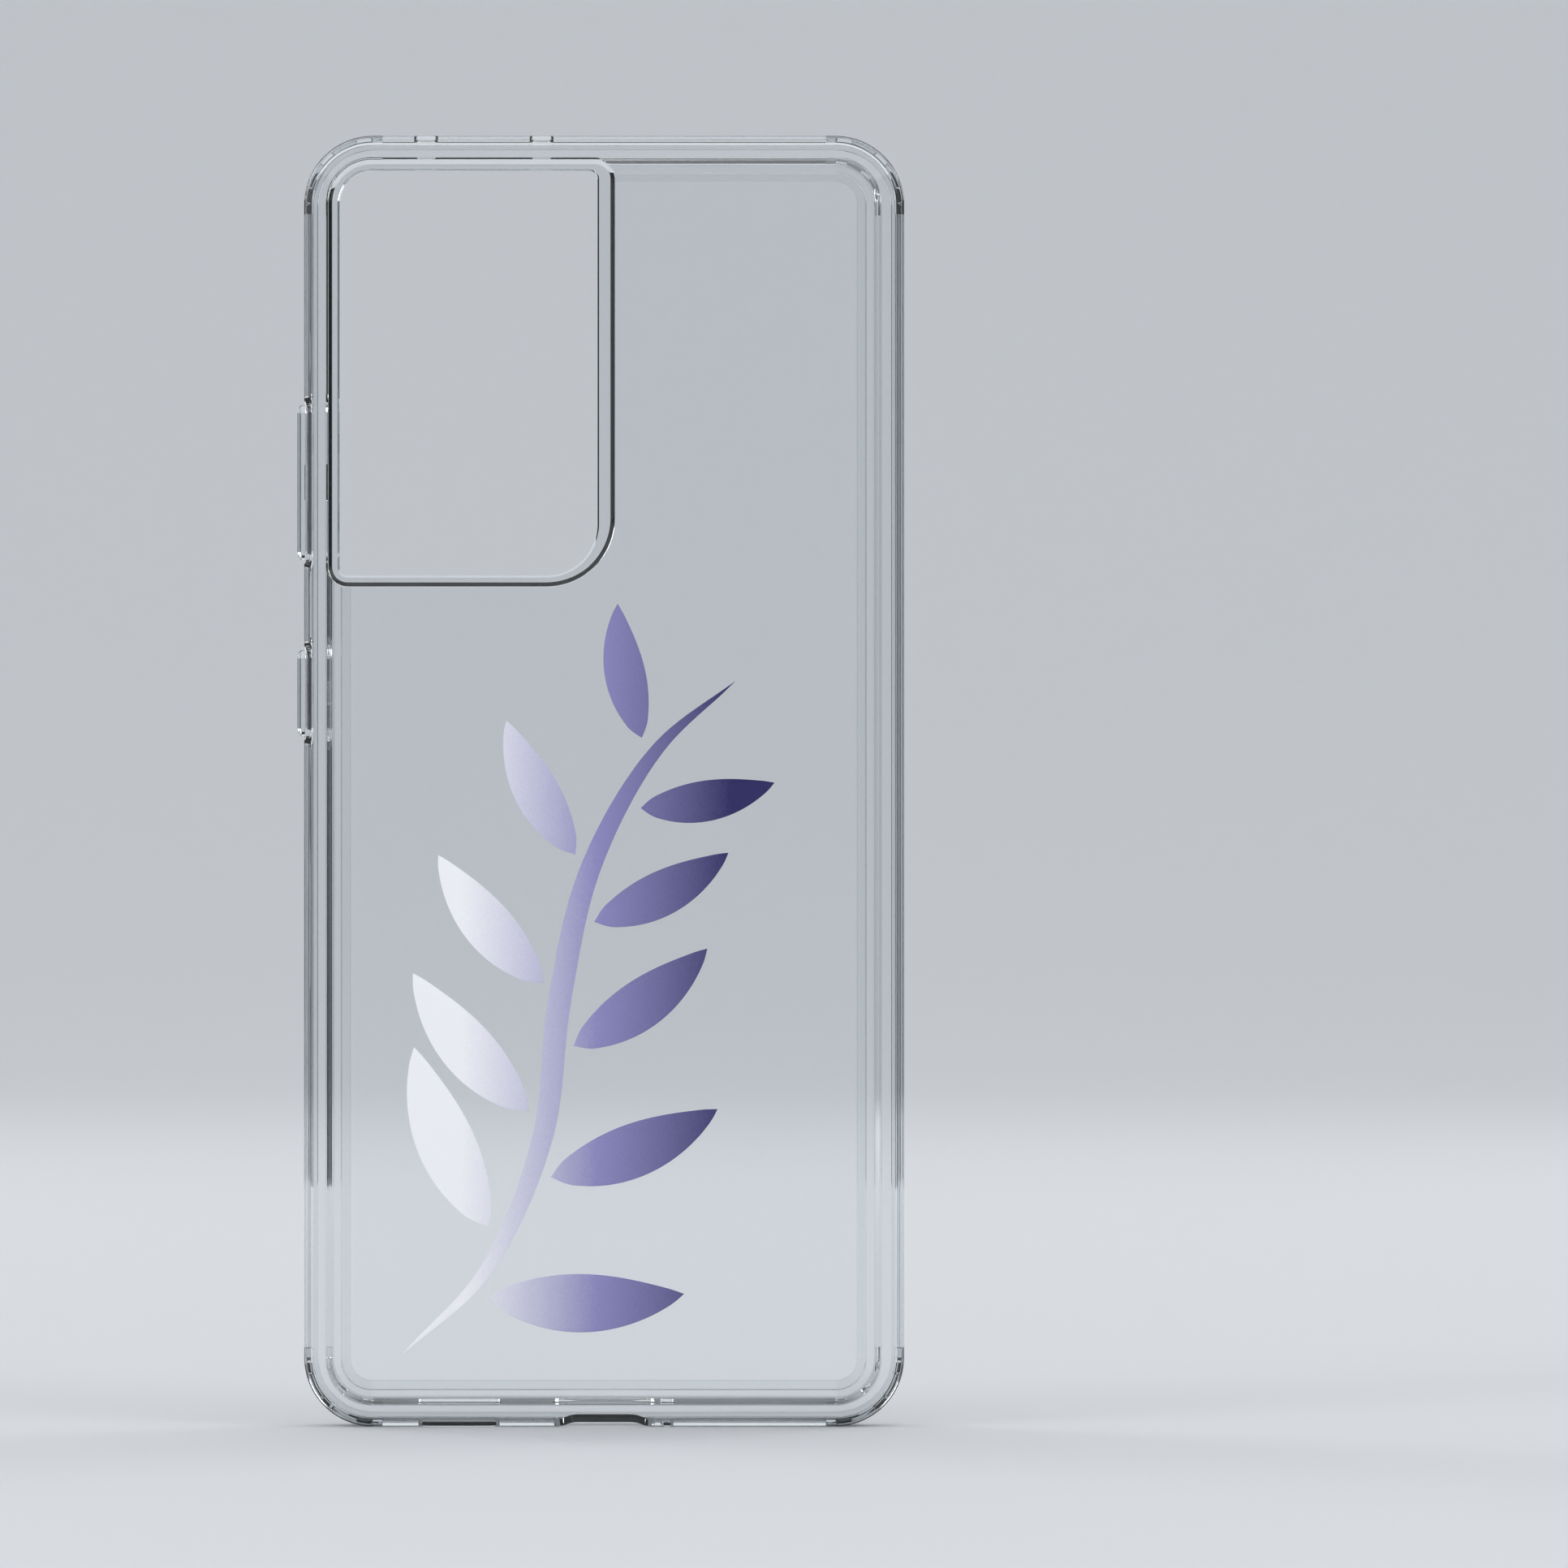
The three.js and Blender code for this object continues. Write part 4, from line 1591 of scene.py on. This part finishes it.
@dataclass
class Studio:
    """Pale paper bowl, soft lights, dark flags that only the clear plastic sees, and camera."""

    floor_radius: float = 1.75
    bowl_radius: float = 4.7
    wall_margin: float = 0.05
    bend_steps: int = 32
    bowl_steps: int = 96
    softbox_power: float = 4.5
    camera_distance: float = 1.6
    field: float = 0.205
    sensor_mm: float = 36.0
    look_x: float = -0.02397
    look_z: float = 0.08393

    def build_stage(self) -> bpy.types.Object:
        """A round floor that curves up slowly into a wall all round, with no line behind.

        Returns:
            The floor.
        """
        rise = self.bowl_radius - self.floor_radius
        edge = (self.bowl_radius, 0, 0)
        wall_top = (self.bowl_radius, 0, rise + self.wall_margin)
        bm = bmesh.new()
        corners = [bm.verts.new(Vector(point)) for point in ((0, 0, 0), edge, wall_top)]
        for first, second in zip(corners, corners[1:]):
            bm.edges.new((first, second))
        round_corners(bm, [corners[1]], rise, self.bend_steps)
        bmesh.ops.spin(
            bm,
            geom=list(bm.verts) + list(bm.edges),
            cent=(0, 0, 0),
            axis=AXIS_Z,
            angle=2 * math.pi,
            steps=self.bowl_steps,
            use_merge=True,
            use_duplicate=False,
        )
        bmesh.ops.remove_doubles(bm, verts=bm.verts, dist=0.0001)
        bmesh.ops.recalc_face_normals(bm, faces=bm.faces)
        floor = new_object("paper_bowl", bm)
        floor.data.polygons.foreach_set("use_smooth", [True] * len(floor.data.polygons))
        floor.data.materials.append(StudioPaper("pale_studio_paper", "#D2D4D7").make())
        return floor

    def add_light(self, name: str, place: Vector, size: tuple[float, float]) -> None:
        """Adds a soft rectangular light that faces the case and isn't seen by the camera.

        Args:
            name: The light's name.
            place: Where it stands.
            size: Its width and height.
        """
        light = bpy.data.lights.new(name, "AREA")
        light.shape = "RECTANGLE"
        light.size, light.size_y = size
        light.energy = self.softbox_power
        lamp = bpy.data.objects.new(name, light)
        lamp.location = place
        aim = Vector((0, 0, self.look_z)) - place
        lamp.rotation_euler = aim.to_track_quat("-Z", "Y").to_euler()
        lamp.visible_camera = False
        bpy.context.scene.collection.objects.link(lamp)

    def add_flag(self, name: str, place: Vector, size: tuple[float, float]) -> None:
        """Adds a black card, turned to the case, that gives the clear edges their dark lines.

        Args:
            name: The flag's name.
            place: Where it stands.
            size: Its width and height.
        """
        bm = bmesh.new()
        bmesh.ops.create_grid(bm, x_segments=2, y_segments=2, size=0.5)
        bmesh.ops.scale(bm, vec=(*size, 1), verts=bm.verts)
        aim = Vector((0, 0, self.look_z)) - place
        turned = aim.to_track_quat("Z", "Y").to_matrix().to_4x4()
        bmesh.ops.transform(bm, matrix=Matrix.Translation(place) @ turned, verts=bm.verts)
        flag = new_object(name, bm)
        flag.data.materials.append(StudioPaper("black_flag_card", "#101112").make())
        for ray in ("camera", "diffuse", "shadow", "volume_scatter"):
            setattr(flag, f"visible_{ray}", False)

    def build_world(self) -> None:
        """An even soft sky over the open top of the bowl."""
        world = bpy.data.worlds.new("soft_sky")
        world.use_nodes = True
        world.node_tree.nodes.clear()
        colour = {"Color": linear("#F8FAFC"), "Strength": 1.0}
        sky = add_node(world.node_tree, "ShaderNodeBackground", colour)
        add_node(world.node_tree, "ShaderNodeOutputWorld", {"Surface": sky})
        bpy.context.scene.world = world

    def build_camera(self) -> None:
        """A long lens square on to the back of the case."""
        data = bpy.data.cameras.new("camera")
        data.sensor_width = self.sensor_mm
        data.lens = self.sensor_mm * self.camera_distance / self.field
        data.clip_end = 20.0
        camera = bpy.data.objects.new("camera", data)
        camera.location = (self.look_x, self.camera_distance, self.look_z)
        camera.rotation_euler = (math.radians(90), 0, math.radians(180))
        bpy.context.scene.collection.objects.link(camera)
        bpy.context.scene.camera = camera

    def build(self) -> None:
        """Sets the stage, the lights, the flags and the camera."""
        self.build_stage()
        self.build_world()
        for name, place in SOFTBOXES.places().items():
            self.add_light(name, place, SOFTBOXES.size)
        for cards in FLAGS:
            for name, place in cards.places().items():
                self.add_flag(name, place, cards.size)
        self.build_camera()
        bpy.context.scene.view_settings.view_transform = "Standard"


def main() -> None:
    """Builds the case, piece by piece, then the studio round it."""
    logging.basicConfig(level=logging.INFO, format="%(name)s: %(message)s")
    finishes = Finishes()
    sizes = CaseSizes()
    bezel = CameraBezel(sizes)
    volume = SideButton(
        sizes, "volume_button", Body.ROCKER, height=123.35, length=20.3, bridge=4.6, pad_shares=(0.25, -0.25)
    )
    power = SideButton(
        sizes, "power_button", Body.KEY, height=95.8, length=11.3, bridge=0.0, pad_shares=(0.0,)
    )
    corner_names = ("bottom_button_side", "top_button_side", "top_plain_side", "bottom_plain_side")
    cushions = [
        CornerCushion(sizes, f"corner_cushion_{name}", index) for index, name in enumerate(corner_names)
    ]
    charging_port = EndHole(sizes, End.PORT, length=13.3, width=6.6, offset=0.0)
    speaker_slot = EndHole(sizes, End.PORT, length=10.7, width=2.4, offset=19.0)
    microphone = EndHole(sizes, End.PORT, length=1.7, width=1.65, offset=-8.2)
    top_holes = [EndHole(sizes, End.CAMERA, length=3.2, width=1.6, offset=x) for x in (8.2, 23.3)]
    holes = [charging_port, speaker_slot, microphone, *top_holes]
    BumperFrame(sizes, bezel, (volume, power), cushions, holes).build(finishes)
    BackPanel(sizes, bezel).build(finishes)
    bezel.build(finishes)
    for cushion in cushions:
        cushion.build(finishes)
    for button in (volume, power):
        button.build_bar(finishes)
        button.build_skirt(finishes)
    PrintedSprig(sizes).build(finishes)
    Studio().build()


if __name__ == "__main__":
    main()
